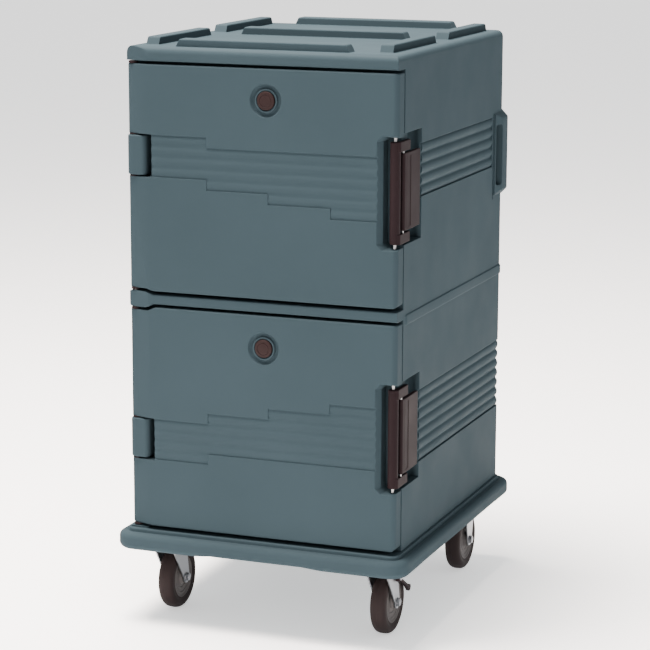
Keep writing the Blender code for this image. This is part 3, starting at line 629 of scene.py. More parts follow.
    @classmethod
    def from_mesh(cls, name: str, mesh: bpy.types.Mesh) -> "Solid":
        """A solid from a mesh that is already in metres.

        Args:
            name: Its name.
            mesh: The mesh.

        Returns:
            The solid.
        """
        bm = bmesh.new()
        bm.from_mesh(mesh)
        bmesh.ops.scale(bm, vec=(1 / MM, 1 / MM, 1 / MM), verts=bm.verts)
        return cls(name, bm)

    def combine(self, operation: str, others: Iterable["Solid"]) -> "Solid":
        """Joins or cuts this solid with others, which are used up.

        Args:
            operation: UNION, DIFFERENCE or INTERSECT.
            others: The other solids.

        Returns:
            This solid.
        """
        used = list(others)
        for other in used:
            modifier = self.obj.modifiers.new(operation.lower(), "BOOLEAN")
            modifier.operation = operation
            modifier.solver = "MANIFOLD"
            modifier.object = other.obj
        self.bake()
        for other in used:
            bpy.data.objects.remove(other.obj, do_unlink=True)
        return self

    def plus(self, *others: "Solid") -> "Solid":
        """Joins other solids to this one."""
        return self.combine("UNION", others)

    def minus(self, *others: "Solid") -> "Solid":
        """Cuts other solids from this one."""
        return self.combine("DIFFERENCE", others)

    def bake(self) -> None:
        """Turns what the modifiers make into the plain mesh, and removes them."""
        graph = bpy.context.evaluated_depsgraph_get()
        mesh = bpy.data.meshes.new_from_object(self.obj.evaluated_get(graph))
        self.obj.modifiers.clear()
        self.obj.data = mesh

    def piece(self, body: str, finish: Finish, *nodes: str) -> bpy.types.Object:
        """Hands the solid over as a piece of the carrier.

        Args:
            body: The CAD body that it rides on.
            finish: Its finish.
            nodes: The CAD nodes that it stands for.

        Returns:
            The piece.
        """
        mesh = self.obj.data
        mesh.materials.clear()
        mesh.materials.append(finish.material())
        mesh.shade_smooth()
        mesh.set_sharp_from_angle(angle=SHARP_ANGLE)
        weighted = self.obj.modifiers.new("even_shading", "WEIGHTED_NORMAL")
        weighted.keep_sharp = True
        self.bake()
        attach(self.obj, body)
        if nodes:
            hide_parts(*nodes)
        LOG.info("%s on %s, %d faces", self.obj.name, body, len(self.obj.data.polygons))
        return self.obj


def stitch(bm: bmesh.types.BMesh, row: list, following: list) -> None:
    """Makes the faces between two rings of points; a ring of one point is a pole.

    Args:
        bm: The mesh.
        row: The points of one ring.
        following: The points of the next.
    """
    count = max(len(row), len(following))
    for step in range(count if count > 1 else 0):
        corners = [
            row[step % len(row)],
            row[(step + 1) % len(row)],
            following[(step + 1) % len(following)],
            following[step % len(following)],
        ]
        distinct = list(dict.fromkeys(corners))
        if len(distinct) > 2:
            bm.faces.new(distinct)


def rounded_rectangle(half_a: float, half_b: float, radius: float, steps: int) -> list[Point]:
    """A rectangle's outline with round corners.

    Args:
        half_a: Half its width.
        half_b: Half its depth.
        radius: The radius of its corners.
        steps: How many pieces a corner has.

    Returns:
        The points, anticlockwise.
    """
    a, b = half_a - radius, half_b - radius
    points = []
    for quarter, (sign_a, sign_b) in enumerate(((1, 1), (-1, 1), (-1, -1), (1, -1))):
        start = 90 * quarter
        points += arc((sign_a * a, sign_b * b), radius, start, start + 90, steps)
    return points


def round_off(
    bm: bmesh.types.BMesh, radius: float, test: Optional[EdgeTest], segments: int
) -> None:
    """Rounds some of a mesh's edges.

    Args:
        bm: The mesh, in millimetres.
        radius: The radius.
        test: Which edges are rounded; all if there is none.
        segments: How many faces a rounded edge has.
    """
    edges = [edge for edge in bm.edges if test is None or test(edge)]
    bmesh.ops.bevel(
        bm, geom=edges, offset=radius, segments=segments, profile=0.5, affect="EDGES"
    )


def rod(
    name: str, radius: float, low: float, high: float, centre: Sequence[float], axis: str = "Z",
    steps: int = 32,
) -> Solid:
    """A plain round bar.

    Args:
        name: Its name.
        radius: Its radius.
        low: Its lower end, from the centre.
        high: Its upper end.
        centre: A point on its axis.
        axis: Its axis.
        steps: How many faces go round.

    Returns:
        The solid.
    """
    profile = [(0.0, high), (radius, high), (radius, low), (0.0, low)]
    return Solid.turned(name, profile, centre, axis, steps=steps)


# Geometry Nodes


class Tree(NodeTree):
    """A Geometry Nodes tree with named inputs, run on a mesh to make a plain mesh."""

    def __init__(self, name: str, inputs: dict[str, str]) -> None:
        """Starts a tree.

        Args:
            name: The tree's name.
            inputs: Each input's name and socket type.
        """
        self.tree = bpy.data.node_groups.new(name, "GeometryNodeTree")
        sockets = self.tree.interface
        sockets.new_socket("Geometry", in_out="INPUT", socket_type="NodeSocketGeometry")
        self.inputs = {
            label: sockets.new_socket(label, in_out="INPUT", socket_type=kind).identifier
            for label, kind in inputs.items()
        }
        sockets.new_socket("Geometry", in_out="OUTPUT", socket_type="NodeSocketGeometry")
        self.source = self.add("NodeGroupInput").outputs
        self.sink = self.add("NodeGroupOutput").inputs

    def end(self, geometry: bpy.types.NodeSocket) -> None:
        """Ends the tree in Realize Instances and Set Material.

        Args:
            geometry: What the tree has made.
        """
        real = self.add("GeometryNodeRealizeInstances")
        dressed = self.add("GeometryNodeSetMaterial")
        self.join(geometry, real.inputs["Geometry"])
        self.join(real.outputs["Geometry"], dressed.inputs["Geometry"])
        self.join(self.source["Material"], dressed.inputs["Material"])
        self.join(dressed.outputs["Geometry"], self.sink["Geometry"])

    def run(
        self, name: str, points: Sequence[Sequence[float]], chained: bool, **values: object
    ) -> Solid:
        """Runs the tree on some points.

        Args:
            name: The name of what it makes.
            points: The points, in millimetres.
            chained: True if they are one open line, false if they stand alone.
            values: The inputs, with spaces in their names written as underscores.

        Returns:
            The result as a solid.
        """
        edges = [(i, i + 1) for i in range(len(points) - 1)] if chained else []
        seed = bpy.data.meshes.new(name)
        seed.from_pydata([Vector(point) * MM for point in points], edges, [])
        obj = bpy.data.objects.new(name + "_seed", seed)
        bpy.context.scene.collection.objects.link(obj)
        modifier = obj.modifiers.new(self.tree.name, "NODES")
        modifier.node_group = self.tree
        for label, value in values.items():
            modifier[self.inputs[label.replace("_", " ")]] = value
        graph = bpy.context.evaluated_depsgraph_get()
        mesh = bpy.data.meshes.new_from_object(obj.evaluated_get(graph))
        bpy.data.objects.remove(obj, do_unlink=True)
        return Solid.from_mesh(name, mesh)


def rib_tree() -> Tree:
    """Sweeps a rounded rib along a line and repeats it upwards.

    Returns:
        The tree.
    """
    tree = Tree(
        "swept_ribs",
        {
            "Count": "NodeSocketInt",
            "Pitch": "NodeSocketFloat",
            "Width": "NodeSocketFloat",
            "Rise": "NodeSocketFloat",
            "Material": "NodeSocketMaterial",
        },
    )
    half = tree.add("ShaderNodeMath", operation="MULTIPLY")
    half.inputs[1].default_value = 0.5
    tree.join(tree.source["Width"], half.inputs[0])
    minus = tree.add("ShaderNodeMath", operation="MULTIPLY")
    minus.inputs[1].default_value = -0.5
    tree.join(tree.source["Width"], minus.inputs[0])
    profile = tree.add("GeometryNodeCurveArc", mode="POINTS")
    profile.inputs["Resolution"].default_value = 12
    corners = {"Start": (None, minus), "Middle": ("Rise", None), "End": (None, half)}
    for corner, (rise, side) in corners.items():
        spot = tree.add("ShaderNodeCombineXYZ")
        if rise:
            tree.join(tree.source[rise], spot.inputs["X"])
        if side:
            tree.join(side.outputs[0], spot.inputs["Y"])
        tree.join(spot.outputs["Vector"], profile.inputs[corner])
    closed = tree.add("GeometryNodeSetSplineCyclic")
    closed.inputs["Cyclic"].default_value = True
    tree.join(profile.outputs["Curve"], closed.inputs["Geometry"])
    line = tree.add("GeometryNodeMeshToCurve")
    tree.join(tree.source["Geometry"], line.inputs["Mesh"])
    upright = tree.add("GeometryNodeSetCurveNormal")
    upright.mode = "Z_UP"
    tree.join(line.outputs["Curve"], upright.inputs["Curve"])
    sweep = tree.add("GeometryNodeCurveToMesh")
    sweep.inputs["Fill Caps"].default_value = True
    tree.join(upright.outputs["Curve"], sweep.inputs["Curve"])
    tree.join(closed.outputs["Geometry"], sweep.inputs["Profile Curve"])
    step = tree.add("ShaderNodeCombineXYZ")
    tree.join(tree.source["Pitch"], step.inputs["Z"])
    ladder = tree.add("GeometryNodeMeshLine", mode="OFFSET")
    tree.join(tree.source["Count"], ladder.inputs["Count"])
    tree.join(step.outputs["Vector"], ladder.inputs["Offset"])
    copies = tree.add("GeometryNodeInstanceOnPoints")
    tree.join(ladder.outputs["Mesh"], copies.inputs["Points"])
    tree.join(sweep.outputs["Mesh"], copies.inputs["Instance"])
    tree.end(copies.outputs["Instances"])
    return tree


def nut_tree() -> Tree:
    """Sets a hexagon nut with its washer at each point, the washer on top.

    Returns:
        The tree.
    """
    tree = Tree(
        "nuts_with_washers",
        {
            "Nut Radius": "NodeSocketFloat",
            "Nut Height": "NodeSocketFloat",
            "Washer Radius": "NodeSocketFloat",
            "Washer Height": "NodeSocketFloat",
            "Material": "NodeSocketMaterial",
        },
    )
    both = tree.add("GeometryNodeJoinGeometry")
    for label, sides in (("Nut", 6), ("Washer", 28)):
        disc = tree.add("GeometryNodeMeshCylinder")
        disc.inputs["Vertices"].default_value = sides
        tree.join(tree.source[label + " Radius"], disc.inputs["Radius"])
        tree.join(tree.source[label + " Height"], disc.inputs["Depth"])
        drop = tree.add("ShaderNodeMath", operation="MULTIPLY")
        drop.inputs[1].default_value = -0.5
        tree.join(tree.source[label + " Height"], drop.inputs[0])
        shift = tree.add("ShaderNodeCombineXYZ")
        if label == "Nut":
            under = tree.add("ShaderNodeMath", operation="SUBTRACT")
            tree.join(drop.outputs[0], under.inputs[0])
            tree.join(tree.source["Washer Height"], under.inputs[1])
            tree.join(under.outputs[0], shift.inputs["Z"])
        else:
            tree.join(drop.outputs[0], shift.inputs["Z"])
        lowered = tree.add("GeometryNodeTransform")
        tree.join(disc.outputs["Mesh"], lowered.inputs["Geometry"])
        tree.join(shift.outputs["Vector"], lowered.inputs["Translation"])
        tree.join(lowered.outputs["Geometry"], both.inputs["Geometry"])
    copies = tree.add("GeometryNodeInstanceOnPoints")
    tree.join(tree.source["Geometry"], copies.inputs["Points"])
    tree.join(both.outputs["Geometry"], copies.inputs["Instance"])
    tree.end(copies.outputs["Instances"])
    return tree


RIBS = rib_tree()
NUTS = nut_tree()


def ribs(
    name: str, line: Sequence[Sequence[float]], count: int, pitch: float, width: float, rise: float
) -> Solid:
    """Ribs along a line, repeated upwards.

    Args:
        name: Their name.
        line: The lowest rib's middle line, outwards being to the right of its direction.
        count: How many there are.
        pitch: From one to the next.
        width: Across a rib.
        rise: How far it stands proud of the line.

    Returns:
        The ribs as one solid.
    """
    return RIBS.run(
        name,
        line,
        True,
        Count=count,
        Pitch=pitch * MM,
        Width=width * MM,
        Rise=rise * MM,
        Material=SHELL.material(),
    )


@dataclass(frozen=True)
class Flutes:
    """The fluted bands: a shallow recess with rounded ribs side by side in it."""

    pitch: float = 24.3
    recess: float = 4.4
    rib: float = 23.8
    rise: float = 5.2
    sunk: float = 1.0  # how far a rib's flat side is under the floor of its recess


FLUTES = Flutes()
DOOR_FLUTES = Flutes(recess=2.2, rise=2.7, rib=23.4)


# Cabinet


@dataclass(frozen=True)
class Bay:
    """One compartment's places on the cabinet: each is a (bottom, top) pair, from the frame."""

    name: str
    opening: Point
    knuckle: Point
    recess: Point

    @property
    def door_box(self) -> tuple[Vector, Vector]:
        """The CAD door's box."""
        return node_box(self.name + "_door_shell")


UPPER = Bay("upper", (800.0, 1300.0), (1060.0, 1151.0), (931.0, 1180.0))
LOWER = Bay("lower", (245.0, 745.0), (395.0, 488.0), (372.0, 621.0))
BAYS = (UPPER, LOWER)
HINGE = joint_axis_point("upper_door_hinge")


@dataclass
class Cabinet:
    """The moulded cabinet with its rails, knuckles, grips, recesses and fluted bands."""

    half_width: float = HALF_WIDTH
    front: float = CABINET_FRONT
    back: float = 392.5
    bottom: float = 225.0
    top: float = 1354.0
    header_bottom: float = 1321.0
    door_front: float = DOOR_FRONT
    corner: float = 16.0
    soft: float = 3.0
    rail: tuple[float, float, float] = (762.0, 785.0, -390.0)
    rail_knob_levels: Point = (753.0, 790.0)
    rail_knob_right: float = -262.0
    knuckle_radius: float = 14.5
    knuckle_right: float = -282.0
    bars_top: float = 1372.0
    bar_slope: float = 12.0
    side_bar: Point = (267.0, 298.0)
    side_bar_spans: tuple[Point, Point] = ((-342.0, -40.0), (42.0, 345.0))
    cross_bar_starts: tuple[float, float, float] = (-374.0, 2.0, 352.0)
    cross_bar_half: float = 212.0
    cross_bar_width: float = 34.0
    half_opening: float = 275.0
    compartment_back: float = 340.0
    opening_corner: float = 14.0
    ledge_first: float = 65.0
    ledge_pitch: float = 88.0
    ledge_count: int = 5
    recess_floor: float = 300.0
    recess_back: float = -231.0
    keeper_face: float = 321.5
    keeper_back: float = -313.0
    grip_levels: Point = (951.0, 1155.0)
    grip_front: float = 317.0
    grip_proud: float = 13.0
    slot_levels: Point = (976.0, 1127.0)
    slot_sides: Point = (322.0, 349.0)
    upper_band: float = 1146.0  # top of the fluted band beside the upper door
    upper_band_ribs: int = 5
    lower_band: float = 578.0
    lower_band_ribs: int = 7

    def block(self) -> Solid:
        """The block with the header and the middle rail standing forward.

        Returns:
            The solid.
        """
        rail_bottom, rail_top, rail_front = self.rail
        outline = [
            (self.front, self.bottom),
            (self.back, self.bottom),
            (self.back, self.top),
            (self.door_front, self.top),
            (self.door_front, self.header_bottom),
            (self.front, self.header_bottom),
            (self.front, rail_top),
            (rail_front, rail_top),
            (rail_front, rail_bottom),
            (self.front, rail_bottom),
        ]
        on_top = lies_at("Z", self.top)
        at_back = lies_at("Y", self.back)
        upright = runs_along("Z")

        levels = lies_at("Z", self.header_bottom, rail_bottom, rail_top)
        fronts = lies_at("Y", self.door_front, rail_front)
        lengthways = runs_along("X")

        def rim(edge: bmesh.types.BMEdge) -> bool:
            """The top's rim and the two upright edges at the back."""
            return on_top(edge) or (upright(edge) and at_back(edge))

        def lips(edge: bmesh.types.BMEdge) -> bool:
            """The header's and the rail's long front edges."""
            return lengthways(edge) and levels(edge) and fronts(edge)

        return Solid.prism(
            "cabinet_body",
            outline,
            -self.half_width,
            self.half_width,
            "X",
            ((self.corner, rim), (self.soft + 1, lips)),
            segments=6,
        )

    def header_slope(self) -> Solid:
        """The slope that takes off the header's front left corner.

        Returns:
            The cutter.
        """
        low, high = self.door_front - 30, self.top + 60
        outline = [
            (-266.0, self.door_front - 1.0),
            (-self.half_width - 14, self.door_front + 20.5),
            (-self.half_width - 14, low),
            (-266.0, low),
        ]
        return Solid.prism("header_slope", outline, 700.0, high)

    def top_bars(self) -> list[Solid]:
        """The raised bars on the top, with sloping ends and soft edges.

        Returns:
            The bars.
        """
        foot = self.top - 6
        made = []

        def bar(name: str, span: Point, low: float, high: float, axis: str) -> None:
            """Adds one bar.

            Args:
                name: Its name.
                span: Where it starts and ends along its length.
                low: Where it starts across its length.
                high: Where it ends across its length.
                axis: The axis across its length.
            """
            start, end = span
            outline = [
                (start, foot),
                (end, foot),
                (end - self.bar_slope, self.bars_top),
                (start + self.bar_slope, self.bars_top),
            ]
            tops = lies_at("Z", self.bars_top)
            made.append(Solid.prism(name, outline, low, high, axis, ((4.0, tops),), 4))

        for side in (-1, 1):
            near, far = sorted(side * x for x in self.side_bar)
            for place, span in zip(("front", "rear"), self.side_bar_spans):
                bar(f"{place}_side_bar_{side}", span, near, far, "X")
        for number, start in enumerate(self.cross_bar_starts):
            span = (-self.cross_bar_half, self.cross_bar_half)
            bar(f"cross_bar_{number}", span, start, start + self.cross_bar_width, "Y")
        return made

    def knuckle(self, bay: Bay) -> Solid:
        """The moulded barrel round a hinge pin, with its neck.

        Args:
            bay: The compartment that it belongs to.

        Returns:
            The solid.
        """
        x, y = HINGE.x, HINGE.y
        right = self.knuckle_right
        outline = [
            (-self.half_width - 0.5, self.front + 12),
            *arc((x, y), self.knuckle_radius, 180, 270, 8),
            *arc((right - 12, y - 2.5), 12, 270, 360, 8),
            (right, self.front + 12),
        ]
        ends = lies_at("Z", *bay.knuckle)
        return Solid.prism(
            bay.name + "_knuckle", outline, *bay.knuckle, "Z", ((3.0, ends),), 3
        )

    def rail_knob(self) -> Solid:
        """The thick end of the middle rail that holds the hinge pins, tapering into the rail.

        Returns:
            The solid.
        """
        rail_bottom, rail_top, rail_front = self.rail
        left, right = -self.half_width, self.rail_knob_right
        low, high = self.rail_knob_levels
        outline = [
            (left, low),
            (right - 22, low),
            (right, rail_bottom),
            (right, rail_top),
            (right - 22, high),
            (left, high),
        ]
        fronts = lies_at("Y", rail_front)
        left_side = lies_at("X", left)

        def soft(edge: bmesh.types.BMEdge) -> bool:
            """The knob's front rim and its left side."""
            return fronts(edge) or left_side(edge)

        return Solid.prism(
            "rail_knob", outline, rail_front, self.front + 12, "Y", ((5.0, soft),), 4
        )

    def bead(self) -> Solid:
        """The bead round the sides and back between the two compartments.

        Returns:
            The solid.
        """
        out = 3.0
        half_x = self.half_width + out
        front, back = self.front + 2, self.back + out
        middle = (0.0, (front + back) / 2, 0.0)
        half_y = (back - front) / 2
        radius = self.corner + out
        shape = ((0.0, 747.0), (2.0, 748.0), (3.0, 751.0), (3.0, 767.0), (2.0, 770.0), (0.0, 771.0))
        rings = [
            (half_x - out + proud, half_y - out + proud, radius - out + proud, z)
            for proud, z in shape
        ]
        bead = Solid.loft("bead", rings, middle)
        front_half = Solid.block(
            "bead_front",
            (-half_x - 10, front - 40, 700.0),
            (half_x + 10, self.front + 3, 800.0),
        )
        return bead.minus(front_half)

    def latch_recess(self, bay: Bay) -> Solid:
        """Room for a latch: a shallow keeper strip, then a deeper finger pocket.

        Args:
            bay: The compartment that it belongs to.

        Returns:
            The cutter.
        """
        outside = self.half_width + 20
        outline = [
            (self.keeper_face, self.front - 20),
            (outside, self.front - 20),
            (outside, self.recess_back),
            (self.half_width, self.recess_back),
            *arc((self.recess_floor + 14, self.recess_back - 14), 14, 60, 180, 6),
            (self.recess_floor, self.keeper_back),
            (self.keeper_face, self.keeper_back),
        ]
        return Solid.prism(bay.name + "_latch_recess", outline, *bay.recess)

    def grip(self, side: int) -> Solid:
        """The raised boss at the back of a side, sloping above and below.

        Args:
            side: 1 on the right, -1 on the left.

        Returns:
            The solid.
        """
        inside = self.half_width - 5
        outside = self.half_width + self.grip_proud
        bottom, top = self.grip_levels
        outline = [
            (side * inside, bottom - 5),
            (side * outside, bottom + self.grip_proud),
            (side * outside, top - self.grip_proud),
            (side * inside, top + 5),
        ]
        outer = lies_at("X", side * outside)
        back = self.back - 0.5
        return Solid.prism(
            f"grip_{side}", outline, self.grip_front, back, "Y", ((4.0, outer),), 4
        )

    def grip_cuts(self, side: int) -> list[Solid]:
        """The finger slot, the room behind its rear bar, and the groove in front of the boss.

        Args:
            side: 1 on the right, -1 on the left.

        Returns:
            The cutters.
        """
        low, high = self.slot_levels
        front, back = self.slot_sides
        deep, out = self.half_width - 42, self.half_width + 20
        bounds = (
            ("slot", deep, out, front, back, 9.0),
            ("undercut", deep, self.half_width - 5, 340.0, 374.0, 0.0),
        )
        made = []
        for label, inner, outer, y_low, y_high, radius in bounds:
            near, far = sorted((side * inner, side * outer))
            made.append(
                Solid.block(
                    f"grip_{label}_{side}",
                    (near, y_low, low),
                    (far, y_high, high),
                    radius,
                    runs_along("X"),
                )
            )
        near, far = sorted((side * (self.half_width - 5), side * out))
        groove = Solid.block(
            f"grip_groove_{side}",
            (near, self.grip_front - 7, self.grip_levels[0] - 8),
            (far, self.grip_front - 0.5, self.grip_levels[1] + 2),
            3.0,
            runs_along("X"),
        )
        slope = [
            (side * (self.half_width + 4.5), self.grip_front - 10),
            (side * (self.half_width + 4.5), self.grip_front + 6),
            (side * (self.half_width + self.grip_proud + 0.5), self.slot_sides[1] + 3),
            (side * out, self.slot_sides[1] + 3),
            (side * out, self.grip_front - 10),
        ]
        levels = (self.grip_levels[0] - 20, self.grip_levels[1] + 20)
        return [*made, groove, Solid.prism(f"grip_slope_{side}", slope, *levels)]

    def side_line(self, side: int, z: float, inset: float) -> list[Place]:
        """The line of a flute on one side, from the latch's end to the grip, facing outwards.

        Args:
            side: 1 on the right, -1 on the left.
            z: Its height.
            inset: How far inside the cabinet's face it runs.

        Returns:
            The line's two ends.
        """
        x = side * (self.half_width - inset)
        ends = [(x, self.recess_back + 3, z), (x, self.grip_front - 15, z)]
        return ends if side > 0 else ends[::-1]

    def wrap_line(self, z: float, inset: float) -> list[Place]:
        """The line of a flute that goes down the right side, across the back and up the left.

        Args:
            z: Its height.
            inset: How far inside the cabinet's face it runs.

        Returns:
            The line's points.
        """
        x, y = self.half_width - inset, self.back - inset
        radius = self.corner - inset
        start = self.recess_back + 3
        right = arc((x - radius, y - radius), radius, 0, 90, 6)
        left = arc((radius - x, y - radius), radius, 90, 180, 6)
        return [(a, b, z) for a, b in ((x, start), *right, *left, (-x, start))]

    def flute(self, body: Solid) -> None:
        """Sinks the fluted bands into the sides and the back, and lays the ribs in them.

        Args:
            body: The cabinet, which is changed.
        """
        depth, pitch = FLUTES.recess, FLUTES.pitch
        inset = depth + FLUTES.sunk
        rise = FLUTES.rise
        out = self.half_width + 20
        low = self.upper_band - self.upper_band_ribs * pitch
        for side in (-1, 1):
            near, far = sorted((side * (self.half_width - depth), side * out))
            body.minus(
                Solid.block(
                    f"side_band_{side}",
                    (near, self.recess_back - 8, low),
                    (far, self.grip_front - 14, self.upper_band),
                )
            )
            line = self.side_line(side, low + pitch / 2, inset)
            body.plus(
                ribs(f"side_ribs_{side}", line, self.upper_band_ribs, pitch, FLUTES.rib, rise)
            )
        low = self.lower_band - self.lower_band_ribs * pitch
        start = self.recess_back - 8
        ring = [(point[0], point[1]) for point in self.wrap_line(0.0, depth)]
        ring[0] = (ring[0][0], start)
        ring[-1] = (ring[-1][0], start)
        far_y = self.back + 20
        outline = [(out, start), (out, far_y), (-out, far_y), (-out, start), *reversed(ring)]
        body.minus(Solid.prism("wrap_band", outline, low, self.lower_band))
        line = self.wrap_line(low + pitch / 2, inset)
        body.plus(
            ribs("wrap_ribs", line, self.lower_band_ribs, pitch, FLUTES.rib, rise)
        )

    def compartments(self, body: Solid) -> None:
        """Hollows out the two compartments and sets the pan ledges on their walls.

        Args:
            body: The cabinet, which is changed.
        """
        for bay in BAYS:
            bottom, top = bay.opening
            body.minus(
                Solid.block(
                    bay.name + "_compartment",
                    (-self.half_opening, self.front - 30, bottom),
                    (self.half_opening, self.compartment_back, top),
                    self.opening_corner,
                )
            )
            mouth = Solid.loft(
                bay.name + "_mouth",
                [
                    (self.half_opening + 4, (top - bottom) / 2 + 4, 18, self.front - 1),
                    (self.half_opening + 1, (top - bottom) / 2 + 1, 15, self.front + 3),
                    (self.half_opening - 1, (top - bottom) / 2 - 1, 14, self.front + 9),
                ],
                (0.0, 0.0, (top + bottom) / 2),
                "Y",
            )
            body.minus(mouth)
            for side in (-1, 1):
                x = side * (self.half_opening + 2)
                ends = [
                    (x, self.compartment_back - 22, bottom + self.ledge_first),
                    (x, self.front + 35, bottom + self.ledge_first),
                ]
                line = ends if side > 0 else ends[::-1]
                body.plus(
                    ribs(
                        f"{bay.name}_ledges_{side}", line, self.ledge_count, self.ledge_pitch,
                        11.0, 21.0,
                    )
                )

    def build(self) -> None:
        """Makes the cabinet and hands it over."""
        body = self.block()
        body.plus(*self.top_bars(), self.bead(), self.rail_knob())
        body.minus(self.header_slope())
        shelf = Solid.block(
            "hinge_shelf",
            (-self.half_width, HINGE.y - 14, self.bottom),
            (-285.0, self.front + 10, self.bottom + 3),
        )
        body.plus(shelf, *(self.knuckle(bay) for bay in BAYS))
        self.flute(body)
        body.plus(*(self.grip(side) for side in (-1, 1)))
        body.minus(*(cutter for side in (-1, 1) for cutter in self.grip_cuts(side)))
        body.minus(*(self.latch_recess(bay) for bay in BAYS))
        self.compartments(body)
        plug = node_centre("foam_port_plug")
        port = [(0.0, 20.0), (15.3, 20.0), (15.3, -8.0), (0.0, -8.0)]
        bores = [Solid.turned("port_bore", port, (plug.x, self.back, plug.z), "Y", steps=32)]
        for bay in BAYS:
            low, high = node_box(bay.name + "_hinge_pin")
            middle = (HINGE.x, HINGE.y, 0.0)
            bores.append(
                rod(bay.name + "_bore", HINGE_BORE, low.z - 0.5, high.z + 0.5, middle, steps=24)
            )
        body.minus(*bores)
        body.piece("cabinet", SHELL, "cabinet_shell", "cabinet_foam")


# Doors


